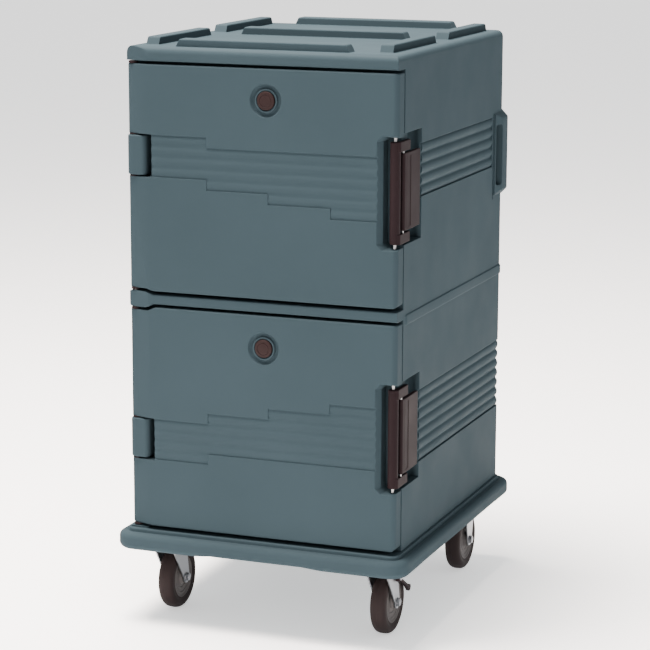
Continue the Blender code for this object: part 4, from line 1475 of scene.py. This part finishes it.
@dataclass
class Door:
    """One door with its vent collar, fluted band, hinge notch, latch pocket and inner plug."""

    bay: Bay
    first_flute: float
    rib_step: int  # 1 if the steps of its band climb, -1 if they go down
    front: float = DOOR_FRONT
    back: float = -350.5
    plug_back: float = -325.5
    half_width: float = HALF_WIDTH
    half_plug: float = 265.0
    facet_start: float = -270.0  # where the sloping corner starts, across the door
    facet_end: float = -366.0  # and where it ends, from front to back
    free_corner: float = 13.0
    bush_room: float = 6.8
    gasket_width: float = 14.0
    gasket_corner: float = 8.0
    corner: float = 12.0
    soft: float = 3.5
    notch_right: float = -264.0
    notch_room: float = 4.0
    latch_left: float = 291.5
    vent_recess: float = 37.5
    vent_head: float = 21.0
    vent_bore: float = 12.0
    vent_depth: float = 8.0

    @property
    def body(self) -> str:
        """The CAD body that the door rides on."""
        return self.bay.name + "_door"

    @property
    def levels(self) -> Point:
        """The door's bottom and top."""
        low, high = self.bay.door_box
        return low.z, high.z

    def outline(self) -> list[Point]:
        """The door's plan: a sloping left front corner and rounded edges.

        Returns:
            The points (x, y).
        """
        wide = self.half_width
        left = arc((-wide + 12, self.facet_end), 12, 253, 180, 6)
        back_left = arc((-wide + 10, self.back - 10), 10, 180, 90, 5)
        back_right = arc((wide - 4, self.back - 4), 4, 90, 0, 4)
        front_right = arc(
            (wide - self.corner, self.front + self.corner), self.corner, 0, -90, 8
        )
        return [(self.facet_start, self.front), *left, *back_left, *back_right, *front_right]

    def slab(self) -> Solid:
        """The door's outer slab, its rims soft and its free bottom corner round.

        Returns:
            The solid.
        """
        bottom, top = self.levels
        ends = lies_at("Z", bottom, top)
        slab = Solid.prism(
            self.bay.name + "_door_shell_skin",
            self.outline(),
            bottom,
            top,
            "Z",
            ((self.soft, ends),),
            4,
        )
        radius = self.free_corner
        x, z = self.half_width - radius, bottom + radius
        corner = [
            (self.half_width + 5, bottom - 5),
            (self.half_width + 5, z),
            *arc((x, z), radius, 0, -90, 8),
            (x, bottom - 5),
        ]
        return slab.minus(
            Solid.prism("corner_cut", corner, self.front - 5, self.back + 5, "Y")
        )

    def inner_plug(self) -> Solid:
        """The raised panel on the inside that fills the opening.

        Returns:
            The solid.
        """
        low, high = self.bay.opening
        half_z = (high - low) / 2 - 10
        half = self.half_plug
        rings = [
            (half, half_z, 14.0, self.back - 10),
            (half, half_z, 14.0, self.back + 6),
            (half - 3, half_z - 3, 13.0, self.plug_back - 4),
            (half - 5, half_z - 5, 12.0, self.plug_back - 1),
            (half - 9, half_z - 9, 10.0, self.plug_back),
        ]
        middle = (0.0, 0.0, (low + high) / 2)
        return Solid.loft(self.bay.name + "_inner_plug", rings, middle, "Y")

    def plug_panel(self) -> Solid:
        """A shallow panel pressed into the inside face.

        Returns:
            The cutter.
        """
        low, high = self.bay.opening
        half_z = (high - low) / 2 - 48
        half = self.half_plug - 40
        rings = [
            (half, half_z, 22.0, self.plug_back + 1),
            (half - 1, half_z - 1, 21.0, self.plug_back - 1),
            (half - 4, half_z - 4, 18.0, self.plug_back - 4),
        ]
        middle = (0.0, 0.0, (low + high) / 2)
        return Solid.loft(self.bay.name + "_plug_panel", rings, middle, "Y")

    def notch(self) -> Solid:
        """The room round the cabinet's knuckle.

        Returns:
            The cutter.
        """
        low, high = self.bay.knuckle
        return Solid.block(
            self.bay.name + "_notch",
            (-self.half_width - 20, self.front - 20, low - self.notch_room),
            (self.notch_right, self.back + 20, high + self.notch_room),
            5.0,
            runs_along("Y"),
        )

    def rail_corner(self) -> Solid:
        """The corner next to the rail's thick end, taken off with a slope.

        Returns:
            The cutter.
        """
        bottom, top = self.levels
        left, start, end = -self.half_width - 20, -281.0, -256.0
        edge, outwards, deep = (bottom, -1, 5) if self.bay is UPPER else (top, 1, -9)
        outline = [
            (left, edge + 9 * outwards),
            (end, edge + 9 * outwards),
            (end, edge + outwards),
            (start, edge + deep),
            (left, edge + deep),
        ]
        return Solid.prism(
            self.bay.name + "_rail_corner", outline, self.front - 10, self.back + 10, "Y"
        )

    def latch_pocket(self) -> Solid:
        """The pocket in the free edge, its inner wall sloping and its corners cut off.

        Returns:
            The cutter.
        """
        low, high = node_box(self.bay.name + "_latch_link")
        bottom, top = low.z - 10, high.z + 9
        middle = (bottom + top) / 2
        half = (top - bottom) / 2
        right = self.half_width + 30
        lead = 11.0
        chamfer = 9.0
        sections = (
            (lead + 1, self.front - 1),
            (lead, self.front),
            (0.0, self.front + 13),
            (0.0, self.back + 10),
        )
        bm = bmesh.new()
        rows = []
        for grow, y in sections:
            left = self.latch_left - grow
            tall = half + grow * 0.35
            corner = chamfer + grow * 0.3
            outline = [
                (right, middle - tall),
                (right, middle + tall),
                (left + corner, middle + tall),
                (left, middle + tall - corner),
                (left, middle - tall + corner),
                (left + corner, middle - tall),
            ]
            rows.append([bm.verts.new((x, y, z)) for x, z in outline])
        for row, following in zip(rows, rows[1:]):
            stitch(bm, row, following)
        bm.faces.new(rows[0])
        bm.faces.new(rows[-1])
        return Solid(self.bay.name + "_latch_pocket", bm)

    def vent_cut(self) -> Solid:
        """The dished recess with a raised collar in it, and the hole through the door.

        Returns:
            The cutter.
        """
        centre = node_centre(self.bay.name + "_vent_cap")
        head, depth = self.vent_head, self.vent_depth
        outer = self.vent_recess
        profile = [
            (0.0, 6.0),
            (outer + 1.5, 6.0),
            (outer + 1.5, 0.0),
            (outer, -1.0),
            (outer - 1.5, -4.5),
            (outer - 3.5, -depth + 1),
            (outer - 6, -depth),
            (head + 7, -depth),
            (head + 6.3, -depth + 1.5),
            (head + 5.8, -3.0),
            (head + 4.8, -1.9),
            (head + 2.8, -1.9),
            (head + 1.8, -3.0),
            (head + 1.2, -depth),
            (self.vent_bore, -depth),
            (self.vent_bore, self.front - self.plug_back - 5),
            (0.0, self.front - self.plug_back - 5),
        ]
        return Solid.turned(
            self.bay.name + "_vent_cut", profile, (centre.x, self.front, centre.z), "Y", steps=72
        )

    def band(self) -> list[tuple[float, float, int, int]]:
        """The fluted band's stretches: left, right, first rib, and how many ribs.

        Returns:
            The stretches, whose rib numbers count away from the hinge's first line.
        """
        left, right = -270.0, self.latch_left - 9
        steps = (-128.0, 22.0, 172.0)
        return [
            (left, steps[0], 0, 1),
            (left, right, 1, 3),
            (steps[0], right, 4, 1),
            (steps[1], right, 5, 1),
            (steps[2], right, 6, 1),
        ]

    def band_outline(self) -> list[Point]:
        """The outline of the whole band, with its steps.

        Returns:
            The points (x, z).
        """
        pitch = FLUTES.pitch * self.rib_step
        z = [self.first_flute + pitch * line for line in range(8)]
        rows = self.band()
        left, right = rows[1][0], rows[1][1] + 14
        steps = [rows[0][1], rows[3][0], rows[4][0]]
        return [
            (left, z[0]),
            (steps[0], z[0]),
            (steps[0], z[1]),
            (right, z[1]),
            (right, z[7]),
            (steps[2], z[7]),
            (steps[2], z[6]),
            (steps[1], z[6]),
            (steps[1], z[5]),
            (steps[0], z[5]),
            (steps[0], z[4]),
            (left, z[4]),
        ]

    def flute(self, slab: Solid) -> None:
        """Sinks the stepped band into the front and lays the ribs in it.

        Args:
            slab: The door, which is changed.
        """
        name = self.bay.name
        depth = DOOR_FLUTES.recess
        slab.minus(
            Solid.prism(
                name + "_band", self.band_outline(), self.front - 8, self.front + depth, "Y"
            )
        )
        pitch = FLUTES.pitch
        y = self.front + depth + DOOR_FLUTES.sunk
        for left, right, first, count in self.band():
            lines = (first, first + count)
            lowest = min(self.first_flute + self.rib_step * pitch * line for line in lines)
            z = lowest + pitch / 2
            end = right + 12 if right > 200 else right - 0.6
            line = [(left + 0.6, y, z), (end, y, z)]
            slab.plus(
                ribs(
                    f"{name}_rib_{first}", line, count, pitch, DOOR_FLUTES.rib, DOOR_FLUTES.rise
                )
            )

    def build(self) -> None:
        """Makes the door and hands it over."""
        name = self.bay.name
        door = self.slab()
        self.flute(door)
        door.plus(self.inner_plug())
        bottom, top = self.levels
        latch_low, latch_high = node_box(name + "_latch_pin")
        latch = joint_axis_point(name + "_latch_turn")
        latch_place = (latch.x, latch.y, 0.0)
        cutters = [
            self.plug_panel(),
            self.notch(),
            self.rail_corner(),
            self.latch_pocket(),
            self.vent_cut(),
            rod(name + "_pin_bore", self.bush_room, bottom - 9, top + 9, (HINGE.x, HINGE.y, 0.0)),
            rod(name + "_latch_bore", LATCH_BORE, latch_low.z - 1, latch_high.z + 1, latch_place),
        ]
        door.minus(*cutters)
        door.piece(self.body, SHELL, name + "_door_shell", name + "_door_foam")
        self.gasket()

    def gasket(self) -> None:
        """The seal round the plug, with three soft lips."""
        name = self.bay.name
        low, high = node_box(name + "_door_gasket")
        half_x, half_z = (high.x - low.x) / 2, (high.z - low.z) / 2
        centre = ((low.x + high.x) / 2, 0.0, (low.z + high.z) / 2)
        width, corner = self.gasket_width, self.gasket_corner
        back, front = low.y + 0.05, high.y - 0.05
        lip, dip = front, front - 1.3
        faces = ((0.4, lip), (3.2, lip), (4.2, dip), (5.4, dip), (6.4, lip), (8.0, lip), (9.0, dip))
        faces += ((10.2, dip), (11.2, lip), (width - 0.4, lip), (width, dip), (width, back))
        rings = [(half_x, half_z, corner, back), (half_x, half_z, corner, dip)]
        rings += [(half_x - d, half_z - d, max(corner - d, 1.5), y) for d, y in faces]
        Solid.loft(name + "_door_seal", rings, centre, "Y", closed=True).piece(
            self.body, GASKET, name + "_door_gasket"
        )


@dataclass
class Hinge:
    """A door's flanged bushes, which turn on the fixed pin."""

    bay: Bay
    bore: float = HINGE_BORE
    sleeve: float = 6.5
    flange: float = 11.0
    end_flange: float = 5.0  # thickness of the flanges at the door's two ends
    knuckle_flange: float = 3.0
    soft: float = 0.8

    def build(self) -> None:
        """Makes the four bushes and hands them over."""
        for place in ("top", "over_knuckle", "under_knuckle", "bottom"):
            node = f"{self.bay.name}_bush_{place}"
            low, high = node_box(node)
            thick = self.end_flange if place in ("top", "bottom") else self.knuckle_flange
            up = place in ("top", "under_knuckle")
            tip, face = (low.z, high.z) if up else (high.z, low.z)
            inward = -1.0 if up else 1.0
            seat = face + inward * thick
            soft = self.soft
            profile = [
                (self.bore, face),
                (self.flange - soft, face),
                (self.flange, face + inward * soft),
                (self.flange, seat - inward * soft),
                (self.flange - soft, seat),
                (self.sleeve, seat),
                (self.sleeve, tip - inward * soft),
                (self.sleeve - soft, tip),
                (self.bore, tip),
            ]
            bush = Solid.turned(
                node + "_turned", profile, (HINGE.x, HINGE.y, 0.0), "Z", ring=True, steps=40
            )
            bush.piece(self.bay.name + "_door", NYLON, node)


@dataclass
class Vent:
    """A vent's cap, a domed knob with a fine ring, and the seal under it."""

    bay: Bay
    head: float = 21.0
    stem: float = 11.5
    face: float = DOOR_FRONT

    def build(self) -> None:
        """Makes the cap and hands it over; the seal stays as it is."""
        node = self.bay.name + "_vent_cap"
        centre = node_centre(node)
        head, stem = self.head, self.stem
        profile = [
            (0.0, 1.4),
            (6.0, 1.3),
            (12.0, 0.9),
            (13.0, 0.1),
            (14.0, 0.0),
            (15.0, 0.8),
            (head - 3, 0.9),
            (head - 1, 0.2),
            (head, -1.2),
            (head, -5.0),
            (head - 0.5, -5.5),
            (stem, -5.5),
            (stem, -33.0),
            (stem - 1, -34.0),
            (0.0, -34.0),
        ]
        cap = Solid.turned(node + "_dome", profile, (centre.x, self.face, centre.z), "Y")
        cap.piece(self.bay.name + "_vent", VENT, node)


@dataclass
class Latch:
    """A draw latch: the C-shaped link that hooks the keeper, and the lever that pulls it."""

    bay: Bay
    bar: float = 11.5
    arm_inside: float = 322.3
    arm_outside: float = 332.0
    arm_back: float = -313.0
    arm_height: float = 23.0
    lever_back: float = -258.0
    lever_room: float = 7.0

    def link(self) -> None:
        """Makes the link and hands it over."""
        name = self.bay.name
        node = name + "_latch_link"
        low, high = node_box(node)
        axis = joint_axis_point(name + "_latch_turn")
        x, y = axis.x, axis.y
        bar = self.bar
        ends = [(0.0, high.z), (bar - 2, high.z), (bar, high.z - 2), (bar, low.z + 2)]
        ends += [(bar - 2, low.z), (0.0, low.z)]
        link = Solid.turned(name + "_link_cast", ends, (x, y, 0.0), steps=48)
        outline = [
            (x, y - bar + 0.6),
            *arc((self.arm_outside - 8, y - 0.5), 8, -60, 0, 5),
            *arc((self.arm_outside - 3, self.arm_back - 3), 3, 0, 90, 4),
            (self.arm_inside, self.arm_back),
            (self.arm_inside, CABINET_FRONT - 6),
            (x, y + bar - 0.6),
        ]
        outer = lies_at("X", self.arm_outside)
        for bottom in (low.z, high.z - self.arm_height):
            top = bottom + self.arm_height
            rims = lies_at("Z", bottom, top)
            arm = Solid.prism(
                f"{name}_arm_{bottom:.0f}", outline, bottom, top, "Z", ((1.6, rims),), 3
            )
            link.plus(arm)
        spine = Solid.block(
            name + "_spine",
            (x - 4, y - 5, low.z + 10),
            (x + 10.5, y + 9.5, high.z - 10),
            2.5,
            runs_along("Z"),
        )
        link.plus(spine)
        lever = joint_axis_point(name + "_lever_turn")
        pin_low, pin_high = node_box(name + "_lever_pin")
        pin_place = (lever.x, lever.y, 0.0)
        bottom, top = low.z + self.arm_height, high.z - self.arm_height
        link.minus(
            rod(name + "_lever_room", self.lever_room, bottom, top, pin_place),
            rod(name + "_link_bore", LATCH_BORE, low.z - 5, high.z + 5, (x, y, 0.0)),
            rod(
                name + "_lever_pin_bore", LEVER_BORE, pin_low.z - 0.5, pin_high.z + 0.5, pin_place
            ),
        )
        link.piece(name + "_latch_link", NYLON, node)

    def lever(self) -> None:
        """Makes the lever, a plate with a rolled lip and a shallow panel, and hands it over."""
        name = self.bay.name
        node = name + "_latch_lever"
        low, high = node_box(node)
        axis = joint_axis_point(name + "_lever_turn")
        x, y = axis.x, axis.y
        outline = [
            *arc((x, y), 5.2, 180, 360, 10),
            (x + 6, -332.0),
            (x + 6, -300.0),
            (x + 5.2, -268.0),
            *arc((x + 1.6, self.lever_back + 3.6), 3.6, 0, 90, 4),
            (x - 2.6, self.lever_back),
            (x - 4, self.lever_back + 6),
            (x - 4, -304.0),
            (x - 6.2, -305.0),
            (x - 6.2, -311.0),
            (x - 4, -312.0),
        ]
        rims = lies_at("Z", low.z, high.z)
        plate = Solid.prism(
            name + "_lever_plate", outline, low.z, high.z, "Z", ((1.4, rims),), 3
        )
        panel = Solid.block(
            name + "_lever_panel",
            (x + 5.2, -338.0, low.z + 7),
            (x + 20, -318.0, high.z - 7),
            1.5,
            runs_along("X"),
        )
        bore = rod(name + "_lever_bore", LEVER_BORE, low.z - 5, high.z + 5, (x, y, 0.0))
        plate.minus(panel, bore)
        plate.piece(name + "_latch_lever", NYLON, node)

    def build(self) -> None:
        """Makes the whole latch."""
        self.link()
        self.lever()


# Base and casters


@dataclass
class Base:
    """The bumper base: a rounded nose all round, a groove, and the ledge that the cabinet sits on."""

    half_x: float = 360.5
    half_y: float = 420.5
    corner: float = 45.0
    bottom: float = 176.0
    top: float = 217.0
    nose: float = 14.0
    arch_halves: Point = (115.0, 280.0)  # half lengths of the shallower stretches, along X and Y
    arch_rise: float = 7.0
    arch_run: float = 55.0
    ledge_inset: float = 23.5
    ledge_top: float = 224.7
    underside: float = 190.0
    rim: float = 32.0

    def ring(self, inset: float, z: float) -> tuple[float, float, float, float]:
        """A ring of the skin, set in from the outer edge.

        Args:
            inset: How far in it is.
            z: Its height.

        Returns:
            Its half width, half depth, corner radius and height.
        """
        radius = max(self.corner - inset, 12.0)
        return self.half_x - inset, self.half_y - inset, radius, z

    def arches(self) -> list[Solid]:
        """The shallower stretches of the lower rim between the casters.

        Returns:
            The cutters.
        """
        made = []
        for axis, half, reach in zip("YX", self.arch_halves, (self.half_y, self.half_x)):
            outline = [
                (-half - 2 * self.arch_run, self.bottom - self.arch_rise),
                (half + 2 * self.arch_run, self.bottom - self.arch_rise),
                (half, self.bottom + self.arch_rise),
                (-half, self.bottom + self.arch_rise),
            ]
            made.append(Solid.prism(f"arch_{axis}", outline, -reach - 10, reach + 10, axis))
        return made

    def build(self) -> None:
        """Makes the base and hands it over."""
        nose = self.nose
        lower = arc((nose, self.bottom + nose), nose, 270, 180, 8)
        upper = arc((nose, self.top - nose), nose, 180, 90, 8)
        shape = [
            (self.rim + 6, self.underside),
            (self.rim + 2, self.underside - 1),
            (self.rim, self.bottom + 1),
            (self.rim - 2, self.bottom),
            *lower,
            *upper,
            (self.ledge_inset - 5, self.top),
            (self.ledge_inset - 4, self.top - 1.6),
            (self.ledge_inset - 1.5, self.top - 1.6),
            (self.ledge_inset - 0.5, self.top),
            (self.ledge_inset, self.ledge_top - 3),
            (self.ledge_inset + 1, self.ledge_top - 1),
            (self.ledge_inset + 3, self.ledge_top),
        ]
        rings = [self.ring(inset, z) for inset, z in shape]
        base = Solid.loft("bumper_base_skin", rings, steps=12).minus(*self.arches())
        for name, _ in CASTERS:
            low, high = node_box(name + "_stud_plate")
            pocket = Solid.block(
                name + "_pocket",
                (low.x - 2, low.y - 2, self.underside - 5),
                (high.x + 2, high.y + 2, high.z + 0.4),
                4.0,
                runs_along("Z"),
            )
            base.minus(pocket)
        base.piece("cabinet", SHELL, "bumper_base")


class Mount(Enum):
    """How a caster is held."""

    SWIVEL = "swivel"
    RIGID = "rigid"


CASTERS = (
    ("front_left", Mount.SWIVEL),
    ("front_right", Mount.SWIVEL),
    ("rear_left", Mount.RIGID),
    ("rear_right", Mount.RIGID),
)


@dataclass
class Caster:
    """One caster: tyre and hub on their axle, the fork, and what turns or fastens it."""

    name: str
    mount: Mount
    radius: float = 76.0
    half_width: float = 19.0
    hub_radius: float = 50.0
    axle_radius: float = 6.0
    fork_inside: float = 22.0
    fork_outside: float = 26.0
    crown_bottom: float = 160.0
    plate_bottom: float = 184.7
    stud_spread: Point = (35.0, 40.0)  # from the plate's middle to a stud
    stud_room: float = 5.3
    king_room: float = 6.3
    brake_pin_room: float = 3.3

    @property
    def centre(self) -> Vector:
        """The wheel's centre."""
        return node_centre(self.name + "_tyre")

    @property
    def body(self) -> str:
        """The CAD body that the fork rides on."""
        return self.name + "_caster" if self.mount is Mount.SWIVEL else "cabinet"

    def tyre(self) -> None:
        """The soft tyre, with round shoulders and a fine line where the mould parts."""
        w, r = self.half_width, self.radius
        inner = self.hub_radius + 0.3
        half = [
            (r, 0.6),
            (r - 0.1, 2.0),
            (r - 0.4, 7.0),
            (r - 1.4, 11.0),
            (r - 3.4, 14.5),
            (r - 6.4, 17.2),
            (r - 10.0, w - 0.4),
            (r - 14.0, w),
            (r - 18.0, w - 0.6),
            (r - 19.0, w - 1.4),
            (r - 22.0, w - 1.8),
            (inner, w - 2.0),
        ]
        profile = [(radius, -height) for radius, height in reversed(half)]
        profile += [(r - 0.4, 0.0), *half]
        tyre = Solid.turned(
            self.name + "_tyre_tread", profile, self.centre, "X", ring=True, steps=96
        )
        tyre.piece(self.name + "_wheel", TYRE, self.name + "_tyre")

    def hub(self) -> None:
        """The hub: a dished face with concentric ridges, on both sides."""
        w, bore = self.half_width, self.axle_radius + 0.3
        half = [
            (bore, w + 1.5),
            (12.0, w + 1.5),
            (15.0, w + 1.0),
            (16.0, w),
            (18.5, w - 6.0),
            (21.0, w - 7.0),
            (26.0, w - 7.2),
            (27.0, w - 5.8),
            (29.0, w - 5.8),
            (30.0, w - 7.2),
            (35.0, w - 6.8),
            (38.0, w - 6.2),
            (39.0, w - 4.6),
            (41.0, w - 4.6),
            (42.0, w - 5.4),
            (45.5, w - 4.6),
            (47.0, w - 2.6),
            (self.hub_radius - 0.8, w - 2.2),
            (self.hub_radius, w - 3.0),
        ]
        profile = [*half, *((radius, -height) for radius, height in reversed(half))]
        hub = Solid.turned(
            self.name + "_hub_dish", profile, self.centre, "X", ring=True, steps=96
        )
        hub.piece(self.name + "_wheel", HUB, self.name + "_hub")

    def axle(self) -> None:
        """The axle bolt with its hexagon head, washers and lock nut."""
        centre = self.centre
        end = self.fork_outside + 0.3
        r = self.axle_radius
        shank = [(0.0, end + 6.8), (r - 1, end + 6.8), (r, end + 5.8), (r, -end - 5.8)]
        shank += [(r - 1, -end - 6.8), (0.0, -end - 6.8)]
        axle = Solid.turned(self.name + "_axle_bolt", shank, centre, "X", steps=32)
        for side in (-1, 1):
            washer = sorted((side * end, side * (end + 1.6)))
            nut = sorted((side * (end + 1.2), side * (end + 5.6)))
            axle.plus(rod(f"washer_{side}", 11.0, *washer, centre, "X", 36))
            axle.plus(rod(f"nut_{side}", 9.5, *nut, centre, "X", 6))
        axle.piece(self.body, ZINC, self.name + "_axle")

    def fork_middle(self) -> Point:
        """The middle of the fork's crown.

        Returns:
            Its x and y.
        """
        if self.mount is Mount.SWIVEL:
            pin = node_centre(self.name + "_kingpin")
            return pin.x, pin.y
        return self.centre.x, self.centre.y

    def leg(self, side: int, top: float) -> Solid:
        """One leg, a pressed plate that narrows to a round eye about the axle.

        Args:
            side: 1 on the right, -1 on the left.
            top: Where it meets the crown.

        Returns:
            The solid.
        """
        x, y = self.fork_middle()
        axle = self.centre
        near, far = sorted((x + side * self.fork_inside, x + side * self.fork_outside))
        outline = [
            *arc((axle.y, axle.z), 15.0, 180, 360, 12),
            (y + 36, top - 20),
            *arc((y + 32, top - 4), 4, 0, 90, 4),
            *arc((y - 30, top - 4), 4, 90, 180, 4),
            (y - 34, top - 16),
        ]
        faces = lies_at("X", near, far)
        return Solid.prism(
            f"{self.name}_leg_{side}", outline, near, far, "X", ((0.9, faces),), 2
        )

    def fork(self) -> None:
        """The crown with its two legs, and either the swivel's raceway or the rigid plate."""
        x, y = self.fork_middle()
        swivel = self.mount is Mount.SWIVEL
        top = 174.0 if swivel else self.plate_bottom + 2
        outer = self.fork_outside
        crown = Solid.block(
            self.name + "_fork_pressing",
            (x - outer + 0.5, y - 33, self.crown_bottom),
            (x + outer - 0.5, y + 35, top),
            3.0,
            runs_along("Y"),
        )
        crown.plus(*(self.leg(side, top - 5) for side in (-1, 1)))
        cutters = [
            rod(self.name + "_eye", self.axle_radius + 0.3, -60, 60, self.centre, "X", 32)
        ]
        if swivel:
            cap = self.plate_bottom - 0.3
            raceway = [
                (0.0, cap),
                (33.0, cap),
                (35.2, cap - 1),
                (36.0, cap - 3),
                (36.0, 178.5),
                (35.0, 177.6),
                (34.2, 177.0),
                (35.4, 176.2),
                (35.6, 174.0),
                (33.0, 170.5),
                (30.0, 168.0),
                (0.0, 168.0),
            ]
            crown.plus(Solid.turned(self.name + "_raceway", raceway, (x, y, 0.0), steps=64))
            cutters.append(rod(self.name + "_king_bore", self.king_room, 140, 200, (x, y, 0.0)))
            if self.name == "front_right":
                pin = node_centre("front_right_brake_pin")
                place = (x + outer, pin.y, pin.z)
                cutters.append(rod("brake_pin_bore", self.brake_pin_room, -10, 5, place, "X"))
        else:
            low, high = node_box(self.name + "_fork")
            low.z = self.plate_bottom
            crown.plus(Solid.block(self.name + "_plate", low, high, 8.0, runs_along("Z")))
            cutters += self.stud_holes()
        crown.minus(*cutters)
        crown.piece(self.body, ZINC, self.name + "_fork")

    def studs(self) -> list[Place]:
        """The four studs' places on the plate's underside.

        Returns:
            The places.
        """
        middle = node_centre(self.name + "_stud_plate")
        out, along = self.stud_spread
        z = self.plate_bottom - 0.05
        return [(middle.x + a * out, middle.y + b * along, z) for a in (-1, 1) for b in (-1, 1)]

    def stud_holes(self) -> list[Solid]:
        """The plate's four holes.

        Returns:
            The cutters.
        """
        return [
            rod(f"{self.name}_hole_{number}", self.stud_room, 150, 220, (x, y, 0.0), steps=20)
            for number, (x, y, _) in enumerate(self.studs())
        ]

    def build(self) -> None:
        """Makes the caster."""
        self.tyre()
        self.hub()
        self.axle()
        self.fork()


@dataclass
class Brake:
    """The foot brake on the front right caster: an arm with a round knob, turning on its pin."""

    eye: float = 9.6
    bore: float = 3.4
    knob: float = 9.0
    knob_place: Point = (68.0, -42.0)  # from the pin, backwards and upwards

    def build(self) -> None:
        """Makes the pedal and hands it over."""
        node = "front_right_brake_pedal"
        low, high = node_box(node)
        pivot = joint_axis_point("front_right_pedal_turn")
        y, z = pivot.y, pivot.z
        knob = (y + self.knob_place[0], z + self.knob_place[1])
        outline = [
            *arc((y, z), self.eye, 58, 238, 8),
            (y + 8.4, z - 9.3),
            (y + 49.2, z - 34.5),
            *arc(knob, self.knob, 260, 396, 10),
            (y + 52.8, z - 28.5),
            (y + 12.0, z - 3.3),
        ]
        sides = lies_at("X", low.x, high.x)
        pedal = Solid.prism(
            "brake_pedal_moulding", outline, low.x, high.x, "X", ((1.2, sides),), 3
        )
        bore = rod("pedal_bore", self.bore, -20, 20, (high.x, y, z), "X")
        pedal.minus(bore)
        pedal.piece("front_right_pedal", NYLON, node)


def fasten_plates() -> None:
    """Sets the washers and nuts on the studs of all four caster plates."""
    spots = [spot for name, mount in CASTERS for spot in Caster(name, mount).studs()]
    made = NUTS.run(
        "caster_nuts",
        spots,
        False,
        Nut_Radius=8.2 * MM,
        Nut_Height=5.0 * MM,
        Washer_Radius=9.0 * MM,
        Washer_Height=1.5 * MM,
        Material=ZINC.material(),
    )
    made.piece("cabinet", ZINC)


# CAD nodes that keep their own shape


KEPT = {
    STEEL: ("hinge_pin", "latch_pin", "lever_pin"),
    ZINC: ("stud_plate", "caster_plate", "kingpin", "brake_pin"),
    GASKET: ("vent_seal",),
    SHELL: ("foam_port_plug",),
}


def dress_kept_nodes() -> None:
    """Gives each CAD node that still shows its finish."""
    for finish, endings in KEPT.items():
        for name, node in frame["nodes"].items():
            if name.endswith(endings):
                node.data.materials.clear()
                node.data.materials.append(finish.material())
                LOG.info("%s keeps its CAD shape in %s", name, finish.name)


# Stage


@dataclass(frozen=True)
class Lamp:
    """A soft square lamp aimed at a point; places in metres."""

    name: str
    place: Place
    size: float
    watts: float
    colour: Place
    aim: Place = (0.0, 0.0, 0.7)

    def build(self) -> None:
        """Adds the lamp to the scene."""
        data = bpy.data.lights.new(self.name, "AREA")
        data.size = self.size
        data.energy = self.watts
        data.color = self.colour
        lamp = bpy.data.objects.new(self.name, data)
        lamp.location = self.place
        aim = Vector(self.aim) - lamp.location
        lamp.rotation_euler = aim.to_track_quat("-Z", "Y").to_euler()
        bpy.context.scene.collection.objects.link(lamp)


LAMPS = (
    Lamp("top", (-0.9, -0.5, 5.0), 2.4, 1500.0, (1.0, 0.9, 0.83)),
    Lamp("front", (0.6, -5.4, 2.8), 2.2, 55.0, (1.0, 0.99, 0.96)),
    Lamp("side", (4.8, 0.4, 3.0), 2.0, 6.0, (0.2, 0.8, 1.0)),
)


@dataclass
class Studio:
    """A pale floor, soft light all round, and the camera."""

    floor_size: float = 60.0
    floor_colour: Place = (1.0, 1.0, 1.0)
    floor_glow: float = 0.7
    sky: float = 1.0
    camera_place: Place = (2.0641, -5.3331, 1.8145)
    camera_aim: Place = (0.0092, -0.0005, 0.6614)
    camera_lens: float = 133.6
    camera_roll: float = 0.17  # degrees

    def build(self) -> None:
        """Makes the stage."""
        self.floor()
        self.light()
        self.camera()

    def floor(self) -> None:
        """The floor, a plain sheet that isn't part of the carrier."""
        bm = bmesh.new()
        bmesh.ops.create_grid(bm, x_segments=1, y_segments=1, size=self.floor_size / 2)
        mesh = bpy.data.meshes.new("floor")
        bm.to_mesh(mesh)
        bm.free()
        floor = bpy.data.objects.new("floor", mesh)
        floor.location.z = -0.001
        bpy.context.scene.collection.objects.link(floor)
        material = bpy.data.materials.new("pale_floor")
        graph = Graph(material)
        graph.shader.inputs["Base Color"].default_value = (*self.floor_colour, 1.0)
        graph.shader.inputs["Roughness"].default_value = 0.9
        graph.shader.inputs["Emission Color"].default_value = (1.0, 1.0, 1.0, 1.0)
        graph.shader.inputs["Emission Strength"].default_value = self.floor_glow
        mesh.materials.append(material)

    def light(self) -> None:
        """The even sky and the soft lamps."""
        world = bpy.data.worlds.new("studio")
        bpy.context.scene.world = world
        world.use_nodes = True
        sky = world.node_tree.nodes["Background"]
        sky.inputs["Color"].default_value = (1.0, 1.0, 1.0, 1.0)
        sky.inputs["Strength"].default_value = self.sky
        for lamp in LAMPS:
            lamp.build()

    def camera(self) -> None:
        """The camera, seeing the doors and the right side from a little above."""
        data = bpy.data.cameras.new("camera")
        data.lens = self.camera_lens
        data.sensor_width = 36.0
        camera = bpy.data.objects.new("camera", data)
        place = Vector(self.camera_place)
        look = Vector(self.camera_aim) - place
        turn = look.to_track_quat("-Z", "Y").to_matrix().to_4x4()
        roll = Matrix.Rotation(math.radians(self.camera_roll), 4, "Z")
        camera.matrix_world = Matrix.Translation(place) @ turn @ roll
        bpy.context.scene.collection.objects.link(camera)
        bpy.context.scene.camera = camera


def main() -> None:
    """Builds the carrier round the frame, then the studio."""
    logging.basicConfig(level=logging.INFO, format="%(name)s: %(message)s")
    Cabinet().build()
    doors = (
        Door(UPPER, first_flute=1155.0, rib_step=-1),
        Door(LOWER, first_flute=395.0, rib_step=1),
    )
    for door in doors:
        door.build()
        Hinge(door.bay).build()
        Vent(door.bay).build()
        Latch(door.bay).build()
    Base().build()
    for name, mount in CASTERS:
        Caster(name, mount).build()
    Brake().build()
    fasten_plates()
    dress_kept_nodes()
    Studio().build()


if __name__ == "__main__":
    main()
